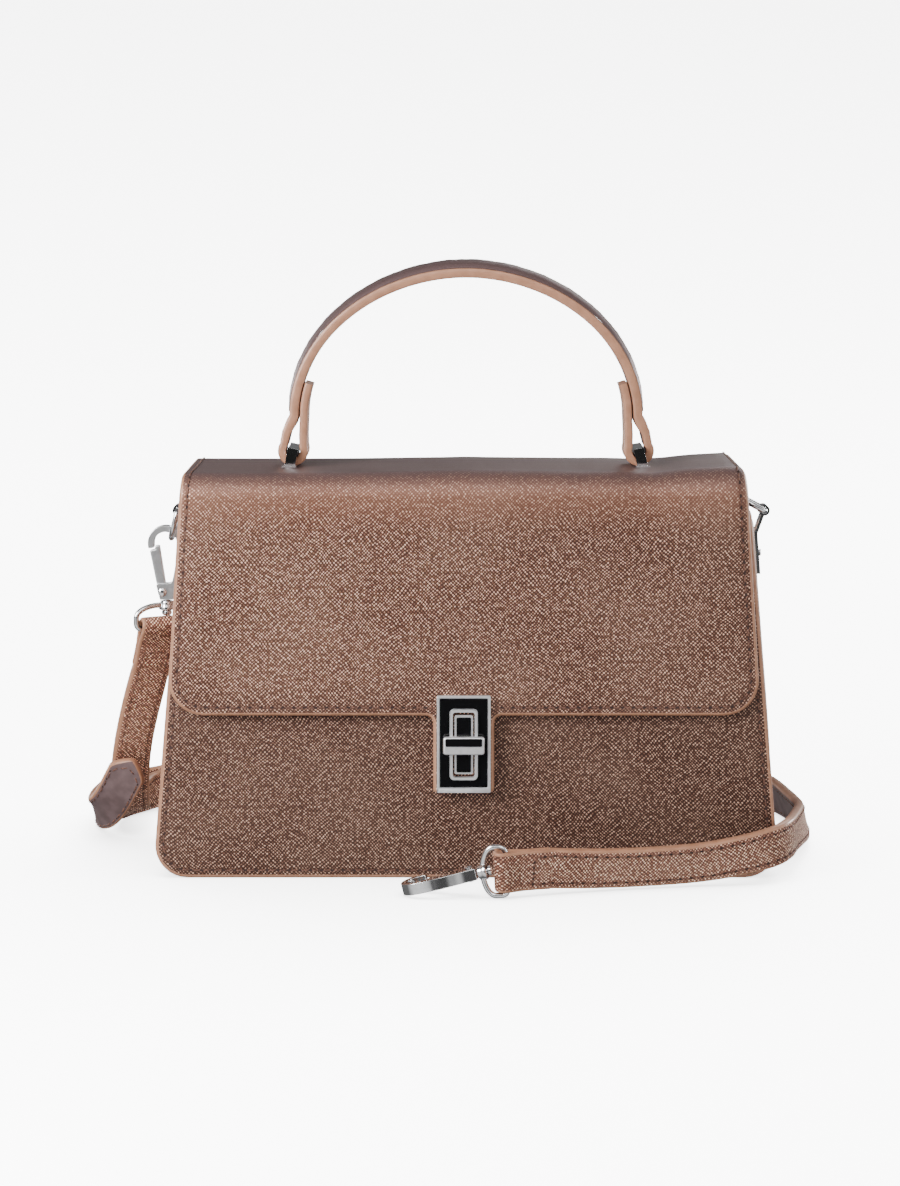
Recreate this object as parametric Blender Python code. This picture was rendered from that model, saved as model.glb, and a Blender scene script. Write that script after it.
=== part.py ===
# Crossbody bag: structured flap bag with a top handle, a turn lock and a detachable shoulder strap.
# Metres, +Z up. The front faces -Y and +X is to the viewer's right.
# The origin is on the floor, under the bag's middle.
import math

import bmesh
import bpy
import numpy as np
from mathutils import Matrix, Vector

GAP = 0.0003
CUT_MARGIN = 0.006

# Bag body
BAG_HEIGHT = 0.164
BASE_WIDTH = 0.2542
TOP_WIDTH = 0.2258
BASE_DEPTH = 0.080
TOP_DEPTH = 0.066
PANEL_THICKNESS = 0.003
FRONT_PANEL_DROP = 0.012
BACK_PANEL_DROP = 0.0045
BOTTOM_CORNER_RADIUS = 0.013
TOP_CORNER_RADIUS = 0.006
GUSSET_THICKNESS = 0.002
GUSSET_DROP = 0.019
GUSSET_BULGE_LEFT = -0.0018
GUSSET_BULGE_RIGHT = 0.0026
BASE_BOARD_THICKNESS = 0.0015
BASE_BOARD_MARGIN = 0.004
LINING_THICKNESS = 0.0008
LINING_CLEARANCE = 0.0006
LINING_SIDE_CLEARANCE = 0.0028
POCKET_WIDTH = 0.150
POCKET_HEIGHT = 0.085
POCKET_BOTTOM = 0.045
POCKET_THICKNESS = 0.001

# Flap
FLAP_THICKNESS = 0.0024
FLAP_LINING_THICKNESS = 0.0006
FLAP_CLEARANCE = 0.0021
FLAP_TOP_WIDTH = 0.2248
FLAP_BOTTOM_WIDTH = 0.2386
FLAP_SHIFT = -0.001
FLAP_BOTTOM = 0.0673
FLAP_FRONT_RADIUS = 0.010
FLAP_BACK_RADIUS = 0.004
FLAP_CORNER_RADIUS = 0.014
FLAP_LINING_MARGIN = 0.001
TAB_WIDTH = 0.0246
TAB_BOTTOM = 0.0361
TAB_CORNER_RADIUS = 0.0015
TAB_FILLET_RADIUS = 0.003

# Lock
LOCK_HEIGHT = 0.0562
LOCK_PLATE_WIDTH = 0.0215
LOCK_PLATE_LENGTH = 0.0394
LOCK_PLATE_THICKNESS = 0.0024
LOCK_RIM_SIDE = 0.0009
LOCK_RIM_BOTTOM = 0.0021
LOCK_RECESS = 0.0009
SLOT_RIM_WIDTH = 0.0108
SLOT_RIM_LENGTH = 0.0283
SLOT_RIM_WALL = 0.0010
SLOT_RIM_RISE = 0.0012
BOSS_WIDTH = 0.0074
BOSS_LENGTH = 0.0238
BOSS_FACE_MARGIN = 0.0008
INLAY_THICKNESS = 0.0004
TURN_BAR_LENGTH = 0.0166
TURN_BAR_WIDTH = 0.0074
TURN_BAR_THICKNESS = 0.0030
TURN_BAR_INLAY_WIDTH = 0.0032
SPINDLE_RADIUS = 0.0018
SPINDLE_CLEARANCE = 0.0003
BACK_PLATE_WIDTH = 0.017
BACK_PLATE_LENGTH = 0.030
BACK_PLATE_THICKNESS = 0.0010
MAGNET_RADIUS = 0.0065
MAGNET_THICKNESS = 0.0013

# Handle
HANDLE_SPAN = 0.141
HANDLE_STRAP_WIDTH = 0.018
HANDLE_STRAP_THICKNESS = 0.0039
HANDLE_LAYER_THICKNESS = 0.0022
HANDLE_SPRING_RISE = 0.0143
HANDLE_INNER_HALF_SPAN = 0.0663
HANDLE_INNER_RISE = 0.0562
HANDLE_RETURN_RISE = 0.014
HANDLE_PAD_WIDTH = 0.0168
HANDLE_PAD_RISE = 0.0034
HANDLE_PAD_END_ANGLE = 2.0
HANDLE_RING_LEAN = 12.0
HANDLE_RING_BAR_RISE = 0.0067
HANDLE_RING_BAR = (0.0042, 0.0026)
HANDLE_RING_LEG = 0.0022
HANDLE_RING_CLEARANCE = 0.0008
HANDLE_LOOP_CLEARANCE = 0.0004
RING_FOOT_SIZE = (0.0058, 0.0042, 0.0008)
RING_POST_RADIUS = 0.0015
HANDLE_PLATE_SIZE = (0.008, 0.030, 0.0010)
NUT_RADIUS = 0.0029
NUT_HEIGHT = 0.0015

# Side rings
KNUCKLE_DROP = 0.0182
KNUCKLE_OUT = 0.0022
LUG_DROP = 0.0267
LUG_LENGTH = 0.0175
LUG_WIDTH = 0.012
LUG_THICKNESS = 0.0014
LUG_NECK_THICKNESS = 0.0012
BARREL_WIDTH = 0.008
BARREL_WALL = 0.0008
D_RING_WIRE = 0.00115
D_RING_HALF_WIDTH = 0.0072
D_RING_REACH = 0.0122
D_RING_BORE_CLEARANCE = 0.0003
D_RING_LEFT_TILT = 15.0
D_RING_RIGHT_TILT = 152.0
RIVET_RADIUS = 0.0009
RIVET_HEAD_RADIUS = 0.0015
RIVET_OFFSET = 0.0042
RIVET_HEAD_HEIGHT = 0.0006

# Trigger hooks
HOOK_THICKNESS = 0.0046
HOOK_HALF_WIDTH = 0.0073
HOOK_WIRE = 0.0026
HOOK_BOW_CENTRE = 0.0235
HOOK_NOSE = 0.0214
HOOK_BASE_TOP = 0.0068
HOOK_RIVET_OFFSET = (-0.0015, 0.0032)
GATE_THICKNESS = 0.0020
GATE_WIDTH = 0.0020
GATE_SLOT = 0.0027
GATE_ROOT_RADIUS = 0.0019
HOOK_RIVET_RADIUS = 0.0008
HOOK_RIVET_HEAD = 0.0018
HOOK_RIVET_HEAD_HEIGHT = 0.0005
HUB_RADIUS = 0.0033
HUB_HEIGHT = 0.0040
PIN_RADIUS = 0.0012
PIN_HEAD_RADIUS = 0.0021
PIN_HEAD_HEIGHT = 0.0022
SWIVEL_RING_WIRE = 0.00115
SWIVEL_RING_HALF_WIDTH = 0.0097
SWIVEL_RING_DEPTH = 0.0096
HOOK_LEFT_OUT = 0.00553
HOOK_LEFT_DROP = 0.0373
FRONT_HOOK_OUT = 0.031

# Shoulder strap
STRAP_WIDTH = 0.0165
STRAP_THICKNESS = 0.0038
STRAP_LAYER = 0.0018
STRAP_FOLD_REACH = 0.0021
STRAP_POINT = 0.0074
BUCKLE_WIRE = 0.0012
BUCKLE_LENGTH = 0.019
BUCKLE_HALF_HEIGHT = 0.0102
PRONG_THICKNESS = 0.0018
PRONG_TIP = 0.0216
KEEPER_WIDTH = 0.008
KEEPER_WALL = 0.0014
KEEPER_CLEARANCE = 0.0004

LEAN = (BASE_DEPTH - TOP_DEPTH) / 2 / BAG_HEIGHT
LEAN_ANGLE = math.atan(LEAN)
FRONT_PANEL_HEIGHT = BAG_HEIGHT - FRONT_PANEL_DROP
BACK_PANEL_HEIGHT = BAG_HEIGHT - BACK_PANEL_DROP
GUSSET_HEIGHT = BAG_HEIGHT - GUSSET_DROP
KNUCKLE_HEIGHT = BAG_HEIGHT - KNUCKLE_DROP
LUG_TOP = BAG_HEIGHT - LUG_DROP
LUG_BOTTOM = LUG_TOP - LUG_LENGTH
HANDLE_RING_BAR_HEIGHT = BAG_HEIGHT + HANDLE_RING_BAR_RISE
HANDLE_SPRING_HEIGHT = HANDLE_RING_BAR_HEIGHT + HANDLE_SPRING_RISE
HANDLE_PLATE_TOP = BAG_HEIGHT - FLAP_THICKNESS - FLAP_LINING_THICKNESS - 2 * GAP
POST_BOTTOM = HANDLE_PLATE_TOP - HANDLE_PLATE_SIZE[2] - NUT_HEIGHT - 2 * GAP


# Colours as the photograph shows them, in linear values
def material(name, colour, roughness, metallic=0.0):
    made = bpy.data.materials.new(name)
    made.use_nodes = True
    shader = made.node_tree.nodes["Principled BSDF"]
    shader.inputs["Base Color"].default_value = (*colour, 1.0)
    shader.inputs["Roughness"].default_value = roughness
    shader.inputs["Metallic"].default_value = metallic
    made.diffuse_color = (*colour, 1.0)
    return made


def clear_scene():
    for old in list(bpy.data.objects):
        bpy.data.objects.remove(old, do_unlink=True)


# Turns a bmesh in world coordinates into a named object whose origin is the pivot
def piece(name, bm, finish, pivot=(0, 0, 0)):
    bmesh.ops.recalc_face_normals(bm, faces=bm.faces)
    bmesh.ops.translate(bm, vec=-Vector(pivot), verts=bm.verts)
    mesh = bpy.data.meshes.new(name)
    bm.to_mesh(mesh)
    bm.free()
    obj = bpy.data.objects.new(name, mesh)
    obj.location = pivot
    obj.data.materials.append(finish)
    bpy.context.collection.objects.link(obj)
    return obj


def smooth(obj, angle=35.0):
    obj.data.shade_smooth()
    obj.data.set_sharp_from_angle(angle=math.radians(angle))
    return obj


def bevel(obj, width, segments=2, limit=40.0):
    made = obj.modifiers.new("edge", "BEVEL")
    made.width = width
    made.segments = segments
    made.limit_method = "ANGLE"
    made.angle_limit = math.radians(limit)
    return obj


def cut(obj, tool, operation="DIFFERENCE"):
    tool.hide_render = True
    tool.display_type = "WIRE"
    made = obj.modifiers.new(operation.lower(), "BOOLEAN")
    made.operation = operation
    made.object = tool
    return obj


# Corner points (a, b, radius) become an outline with round corners
def rounded(corners, steps=5):
    outline = []
    count = len(corners)
    for index, (a, b, radius) in enumerate(corners):
        here = Vector((a, b))
        back = (Vector(corners[index - 1][:2]) - here).normalized()
        on = (Vector(corners[(index + 1) % count][:2]) - here).normalized()
        if radius <= 0:
            outline.append(here)
            continue
        half = back.angle(on) / 2
        centre = here + (back + on).normalized() * radius / math.sin(half)
        first = here + back * radius / math.tan(half) - centre
        last = here + on * radius / math.tan(half) - centre
        for step in range(steps + 1):
            swung = first.slerp(last, step / steps)
            outline.append(centre + swung.normalized() * radius)
    return [(point.x, point.y) for point in outline]


def rectangle(width, length, radius, centre=(0.0, 0.0)):
    a, b = centre
    signs = ((-1, -1), (1, -1), (1, 1), (-1, 1))
    return rounded([(a + sa * width / 2, b + sb * length / 2, radius) for sa, sb in signs], 4)


# An outline of (a, b) points, extruded from one depth to another
# place turns (a, depth, b) into a world point
def prism(outline, near, far, place):
    bm = bmesh.new()
    ends = [[bm.verts.new(place(a, depth, b)) for a, b in outline] for depth in (near, far)]
    bm.faces.new(ends[0])
    bm.faces.new(reversed(ends[1]))
    bridge(bm, ends, closed=False)
    return bm


# Quads between neighbouring rings of vertices
def bridge(bm, rings, closed):
    pairs = list(zip(rings, rings[1:]))
    if closed:
        pairs.append((rings[-1], rings[0]))
    for low, high in pairs:
        for here in range(len(low)):
            there = (here + 1) % len(low)
            bm.faces.new((low[here], high[here], high[there], low[there]))


# A solid through a row of sections, each a list of world points
def loft(sections, closed=False):
    bm = bmesh.new()
    rings = [[bm.verts.new(point) for point in section] for section in sections]
    bridge(bm, rings, closed)
    if not closed:
        bm.faces.new(rings[0])
        bm.faces.new(reversed(rings[-1]))
    return bm


def cylinder(start, end, radius, sides=16):
    return turned(start, end, [(0.0, radius), ((Vector(end) - Vector(start)).length, radius)], sides)


# A round solid on the axis from start towards end, with a profile of (distance from start, radius)
def turned(start, end, profile, sides=16):
    start = Vector(start)
    axis = (Vector(end) - start).normalized()
    side = axis.orthogonal().normalized()
    other = axis.cross(side)
    turns = [2 * math.pi * step / sides for step in range(sides)]
    spokes = [side * math.cos(turn) + other * math.sin(turn) for turn in turns]
    return loft([[start + axis * along + spoke * radius for spoke in spokes] for along, radius in profile])


def tool(bm, name):
    made = piece(name, bm, TOOL)
    made.hide_render = True
    made.display_type = "WIRE"
    return made


def join(bm, other):
    copy = bpy.data.meshes.new("joined")
    other.to_mesh(copy)
    other.free()
    bm.from_mesh(copy)
    bpy.data.meshes.remove(copy)
    return bm


# A wire of round section, open or closed, as a curve with a bevel
def wire(name, points, radius, finish, pivot=(0, 0, 0), closed=False, sides=2):
    curve = bpy.data.curves.new(name, "CURVE")
    curve.dimensions = "3D"
    curve.bevel_depth = radius
    curve.bevel_resolution = sides
    curve.use_fill_caps = not closed
    spline = curve.splines.new("POLY")
    spline.points.add(len(points) - 1)
    for slot, point in zip(spline.points, points):
        slot.co = (*(Vector(point) - Vector(pivot)), 1.0)
    spline.use_cyclic_u = closed
    spline.use_smooth = True
    obj = bpy.data.objects.new(name, curve)
    obj.location = pivot
    curve.materials.append(finish)
    bpy.context.collection.objects.link(obj)
    return obj


# Points of a smooth curve through the given ones (centripetal Catmull-Rom), with values that follow along
def smooth_curve(route, step):
    route = np.array(route, float)
    ends = np.vstack([2 * route[0] - route[1], route, 2 * route[-1] - route[-2]])
    made = []
    for index in range(1, len(ends) - 2):
        p0, p1, p2, p3 = ends[index - 1 : index + 3]
        spans = [np.linalg.norm((b - a)[:3]) ** 0.5 for a, b in ((p0, p1), (p1, p2), (p2, p3))]
        knots = np.cumsum([0.0] + spans)
        count = max(2, round(float(np.linalg.norm((p2 - p1)[:3])) / step))
        last = index == len(ends) - 3
        for t in np.linspace(knots[1], knots[2], count, endpoint=False).tolist() + [knots[2]] * last:
            a1 = blend(p0, p1, knots[0], knots[1], t)
            a2 = blend(p1, p2, knots[1], knots[2], t)
            a3 = blend(p2, p3, knots[2], knots[3], t)
            b1 = blend(a1, a2, knots[0], knots[2], t)
            b2 = blend(a2, a3, knots[1], knots[3], t)
            made.append(blend(b1, b2, knots[1], knots[2], t))
    return np.array(made)


def blend(first, last, start, end, at):
    return first + (last - first) * (at - start) / (end - start)


# A flat band: each station is (centre, across, thickness), across being the direction of its width, and
# a fourth value, where there is one, is its share of the full width
def band(stations, width):
    centres = [Vector(station[0]) for station in stations]
    sections = []
    for index, (centre, across, thickness, *share) in enumerate(stations):
        ahead = centres[min(index + 1, len(centres) - 1)] - centres[max(index - 1, 0)]
        wide = Vector(across) - ahead.normalized() * Vector(across).dot(ahead.normalized())
        wide = wide.normalized() * width / 2 * (share[0] if share else 1.0)
        thick = ahead.cross(wide).normalized() * thickness / 2
        signs = ((-1, -1), (1, -1), (1, 1), (-1, 1))
        sections.append([Vector(centre) + wide * a + thick * b for a, b in signs])
    return loft(sections)


# Shape of the bag at a height
def half_width(z):
    return (BASE_WIDTH - (BASE_WIDTH - TOP_WIDTH) * z / BAG_HEIGHT) / 2


def front_y(z):
    return -BASE_DEPTH / 2 + LEAN * z


def on_front(a, depth, b):
    return (a, front_y(b) + depth, b)


def on_back(a, depth, b):
    return (a, -front_y(b) - depth, b)


def panel_outline(height):
    foot = half_width(0)
    head = half_width(height)
    corners = [(-foot, 0, BOTTOM_CORNER_RADIUS), (foot, 0, BOTTOM_CORNER_RADIUS)]
    corners += [(head, height, TOP_CORNER_RADIUS), (-head, height, TOP_CORNER_RADIUS)]
    return rounded(corners, 6)


def make_panels():
    front = prism(panel_outline(FRONT_PANEL_HEIGHT), 0, PANEL_THICKNESS, on_front)
    front = piece("front_panel", front, LEATHER)
    pocket_start = front_y(LOCK_HEIGHT) + PANEL_THICKNESS
    deep = MAGNET_THICKNESS + GAP
    pocket = cylinder(
        (LOCK_X, pocket_start + PANEL_THICKNESS, LOCK_HEIGHT),
        (LOCK_X, pocket_start - deep, LOCK_HEIGHT),
        MAGNET_RADIUS + GAP,
        20,
    )
    cut(front, tool(pocket, "magnet_pocket_cutter"))
    magnet = cylinder(
        (LOCK_X, pocket_start - deep + GAP, LOCK_HEIGHT),
        (LOCK_X, pocket_start - GAP, LOCK_HEIGHT),
        MAGNET_RADIUS - GAP,
        20,
    )
    smooth(piece("catch_magnet", magnet, STEEL))
    piece("back_panel", prism(panel_outline(BACK_PANEL_HEIGHT), 0, PANEL_THICKNESS, on_back), LEATHER)


# Outer line of the gusset from its top edge down the side and round the bottom corner, as (x, z, outward)
def gusset_line():
    line = []
    tilt = math.atan2(half_width(0) - half_width(BAG_HEIGHT), BAG_HEIGHT)
    outward = (math.cos(tilt), math.sin(tilt))
    reach = BOTTOM_CORNER_RADIUS
    centre_z = reach
    centre_x = half_width(centre_z) - reach / math.cos(tilt)
    first = centre_z + reach * math.sin(tilt)
    for z in np.linspace(GUSSET_HEIGHT, first, 8):
        line.append((half_width(z), z, outward))
    for turn in np.linspace(tilt, -math.pi / 2, 7)[1:]:
        aim = (math.cos(turn), math.sin(turn))
        line.append((centre_x + reach * aim[0], centre_z + reach * aim[1], aim))
    return line


def gusset_bulge(z, side):
    start, full = 0.020, 0.060
    share = min(1.0, max(0.0, (z - start) / (full - start)))
    return (GUSSET_BULGE_LEFT if side < 0 else GUSSET_BULGE_RIGHT) * share * share * (3 - 2 * share)


def make_gusset(name, side):
    bm = bmesh.new()
    rows = []
    for x, z, (out_x, out_z) in gusset_line():
        reach = -front_y(z) - PANEL_THICKNESS - GAP
        row = []
        for share in np.linspace(-1, 1, 7):
            swell = gusset_bulge(z, side) * (1 - share * share)
            row.append(bm.verts.new((side * (x + out_x * swell), share * reach, z + out_z * swell)))
        rows.append(row)
    for low, high in zip(rows, rows[1:]):
        for here in range(len(low) - 1):
            bm.faces.new((low[here], low[here + 1], high[here + 1], high[here]))
    obj = piece(name, bm, LEATHER)
    for face in obj.data.polygons:
        if face.normal.x * side < 0 or (abs(face.normal.x) < 0.2 and face.normal.z > 0):
            face.flip()
    skin = obj.modifiers.new("thickness", "SOLIDIFY")
    skin.thickness = GUSSET_THICKNESS
    skin.offset = -1
    skin.use_even_offset = True
    return obj


def make_base():
    tilt_reach = half_width(BOTTOM_CORNER_RADIUS) - BOTTOM_CORNER_RADIUS * 1.006 - 2 * GAP
    deep = BASE_DEPTH / 2 - PANEL_THICKNESS - GAP
    outline = [(-tilt_reach, -deep), (tilt_reach, -deep), (tilt_reach, deep), (-tilt_reach, deep)]
    top = PANEL_THICKNESS
    bm = bmesh.new()
    low = [bm.verts.new((x, y, 0)) for x, y in outline]
    high = [bm.verts.new((x, y - math.copysign(LEAN * top, y), top)) for x, y in outline]
    bm.faces.new(low)
    bm.faces.new(high)
    bridge(bm, [low, high], closed=False)
    piece("base_panel", bm, LEATHER)
    wide = tilt_reach - BASE_BOARD_MARGIN
    deep = deep - BASE_BOARD_MARGIN / 2
    corner = 0.003
    board = [(-wide, -deep, corner), (wide, -deep, corner), (wide, deep, corner), (-wide, deep, corner)]
    board = rounded(board, 2)
    low = top + GAP
    piece("base_board", prism(board, low, low + BASE_BOARD_THICKNESS, lambda a, d, b: (a, b, d)), BOARD)


def lining_section(z, inset=0.0):
    wide = half_width(z) - GUSSET_THICKNESS - LINING_SIDE_CLEARANCE - inset
    wide -= BOTTOM_CORNER_RADIUS * 0.42 * max(0.0, 1 - z / BOTTOM_CORNER_RADIUS)
    deep = -front_y(z) - PANEL_THICKNESS - LINING_CLEARANCE - inset
    corners = [(-wide, -deep, 0.005), (wide, -deep, 0.005), (wide, deep, 0.005), (-wide, deep, 0.005)]
    return [(a, b, z) for a, b in rounded(corners, 3)]


def make_lining():
    foot = PANEL_THICKNESS + BASE_BOARD_THICKNESS + 2 * GAP
    top = GUSSET_HEIGHT - 0.001
    heights = [foot, BOTTOM_CORNER_RADIUS, top]
    bm = bmesh.new()
    outer = [[bm.verts.new(point) for point in lining_section(z)] for z in heights]
    wall = LINING_THICKNESS
    inner_heights = [foot + wall, BOTTOM_CORNER_RADIUS, top]
    inner = [[bm.verts.new(point) for point in lining_section(z, wall)] for z in inner_heights]
    bridge(bm, outer, closed=False)
    bridge(bm, inner, closed=False)
    bridge(bm, [outer[-1], inner[-1]], closed=False)
    bm.faces.new(outer[0])
    bm.faces.new(inner[0])
    piece("lining", bm, FABRIC)
    start = PANEL_THICKNESS + LINING_CLEARANCE + LINING_THICKNESS + GAP
    shape = rectangle(POCKET_WIDTH, POCKET_HEIGHT, 0.006, (0, POCKET_BOTTOM + POCKET_HEIGHT / 2))
    piece("inner_pocket", prism(shape, start, start + POCKET_THICKNESS, on_back), FABRIC)


# The flap's outer line in the YZ plane, from the hinge over the top and down the front
FLAP_FRONT_OUT = FLAP_CLEARANCE + FLAP_LINING_THICKNESS + GAP + FLAP_THICKNESS
FLAP_LINE_Y = -BASE_DEPTH / 2 - FLAP_FRONT_OUT
FLAP_BACK_Y = -front_y(BACK_PANEL_HEIGHT)
FLAP_START_Z = BACK_PANEL_HEIGHT + GAP
HINGE_Z = BACK_PANEL_HEIGHT + GAP / 2
FLAP_FRONT_CENTRE_Z = BAG_HEIGHT - FLAP_FRONT_RADIUS
FLAP_FRONT_CENTRE_Y = FLAP_LINE_Y + LEAN * FLAP_FRONT_CENTRE_Z + FLAP_FRONT_RADIUS / math.cos(LEAN_ANGLE)
FLAP_RISE = BAG_HEIGHT - FLAP_BACK_RADIUS - FLAP_START_Z
FLAP_TOP_START = FLAP_RISE + FLAP_BACK_RADIUS * math.pi / 2
FLAP_TOP_LENGTH = FLAP_BACK_Y - FLAP_BACK_RADIUS - FLAP_FRONT_CENTRE_Y
FLAP_FOLD_START = FLAP_TOP_START + FLAP_TOP_LENGTH
FLAP_FOLD_TURN = math.pi / 2 - LEAN_ANGLE
FLAP_FRONT_START = FLAP_FOLD_START + FLAP_FRONT_RADIUS * FLAP_FOLD_TURN
FLAP_TANGENT_Z = FLAP_FRONT_CENTRE_Z + FLAP_FRONT_RADIUS * math.sin(LEAN_ANGLE)
LOCK_X = FLAP_SHIFT


def flap_length_at(z):
    return FLAP_FRONT_START + (FLAP_TANGENT_Z - z) / math.cos(LEAN_ANGLE)


# World point at a distance along the flap and a depth under its outer face
def flap_point(x, along, depth):
    if along <= FLAP_RISE:
        return (x, FLAP_BACK_Y - depth, FLAP_START_Z + along)
    if along <= FLAP_TOP_START:
        turn = (along - FLAP_RISE) / FLAP_BACK_RADIUS
        reach = FLAP_BACK_RADIUS - depth
        centre = (FLAP_BACK_Y - FLAP_BACK_RADIUS, BAG_HEIGHT - FLAP_BACK_RADIUS)
        return (x, centre[0] + reach * math.cos(turn), centre[1] + reach * math.sin(turn))
    if along <= FLAP_FOLD_START:
        return (x, FLAP_BACK_Y - FLAP_BACK_RADIUS - (along - FLAP_TOP_START), BAG_HEIGHT - depth)
    turn = min(along - FLAP_FOLD_START, FLAP_FRONT_START - FLAP_FOLD_START) / FLAP_FRONT_RADIUS + math.pi / 2
    reach = FLAP_FRONT_RADIUS - depth
    y = FLAP_FRONT_CENTRE_Y + reach * math.cos(turn)
    z = FLAP_FRONT_CENTRE_Z + reach * math.sin(turn)
    down = max(0.0, along - FLAP_FRONT_START)
    return (x, y - down * math.sin(LEAN_ANGLE), z - down * math.cos(LEAN_ANGLE))


def flap_outline(margin):
    top = FLAP_TOP_WIDTH / 2 - margin
    low = FLAP_BOTTOM_WIDTH / 2 - margin
    tab = TAB_WIDTH / 2 - margin
    start = FLAP_LINING_MARGIN if margin else 0.0
    fold = FLAP_FOLD_START
    foot = flap_length_at(FLAP_BOTTOM) - margin
    tip = flap_length_at(TAB_BOTTOM) - margin
    fillet = TAB_FILLET_RADIUS + margin
    right = [(top, start, 0), (top, fold, 0), (low, foot, FLAP_CORNER_RADIUS - margin)]
    right += [(tab, foot, fillet), (tab, tip, TAB_CORNER_RADIUS)]
    left = [(-a, b, radius) for a, b, radius in reversed(right)]
    return [(a + FLAP_SHIFT, b) for a, b in rounded(right + left, 6)]


def make_flap_layer(name, margin, depth, thickness, finish):
    bm = bmesh.new()
    bm.faces.new([bm.verts.new((a, b, 0)) for a, b in flap_outline(margin)])
    cuts = [FLAP_RISE]
    cuts += list(np.linspace(FLAP_RISE, FLAP_TOP_START, 5)[1:])
    cuts += list(np.linspace(FLAP_FOLD_START, FLAP_FRONT_START, 8))
    for at in cuts:
        geometry = bm.verts[:] + bm.edges[:] + bm.faces[:]
        bmesh.ops.bisect_plane(bm, geom=geometry, plane_co=(0, at, 0), plane_no=(0, 1, 0), dist=1e-6)
    faces = bm.faces[:]
    grown = bmesh.ops.extrude_face_region(bm, geom=faces + bm.edges[:] + bm.verts[:])["geom"]
    lifted = {item for item in grown if isinstance(item, bmesh.types.BMVert)}
    for vert in bm.verts:
        under = depth + (thickness if vert in lifted else 0.0)
        vert.co = flap_point(vert.co.x, vert.co.y, under)
    return piece(name, bm, finish, (0, FLAP_BACK_Y, HINGE_Z))


def make_flap():
    flap = make_flap_layer("flap", 0.0, 0.0, FLAP_THICKNESS, LEATHER)
    depth = FLAP_THICKNESS + GAP
    lining = make_flap_layer("flap_lining", FLAP_LINING_MARGIN, depth, FLAP_LINING_THICKNESS, LINING_LEATHER)
    holes = bmesh.new()
    for x, y in ring_posts():
        low, high = (x, y, BAG_HEIGHT - 0.008), (x, y, BAG_HEIGHT + 0.002)
        join(holes, cylinder(low, high, RING_POST_RADIUS + GAP, 12))
    start, end = lock_point(0, -0.006, 0), lock_point(0, 0.002, 0)
    join(holes, cylinder(start, end, SPINDLE_RADIUS + SPINDLE_CLEARANCE, 14))
    holes = tool(holes, "flap_hole_cutter")
    for layer in (flap, lining):
        cut(layer, holes)


# Lock pieces stand on the flap's leaning face: a across, out from the leather, b up
def lock_point(a, out, b):
    line_y = FLAP_LINE_Y + LEAN * LOCK_HEIGHT
    sine, cosine = math.sin(LEAN_ANGLE), math.cos(LEAN_ANGLE)
    return (LOCK_X + a, line_y - out * cosine + b * sine, LOCK_HEIGHT + out * sine + b * cosine)


def lock_block(name, outline, near, far, finish, pivot=None):
    bm = prism(outline, near, far, lock_point)
    return piece(name, bm, finish, lock_point(0, 0, 0) if pivot is None else pivot)


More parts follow.
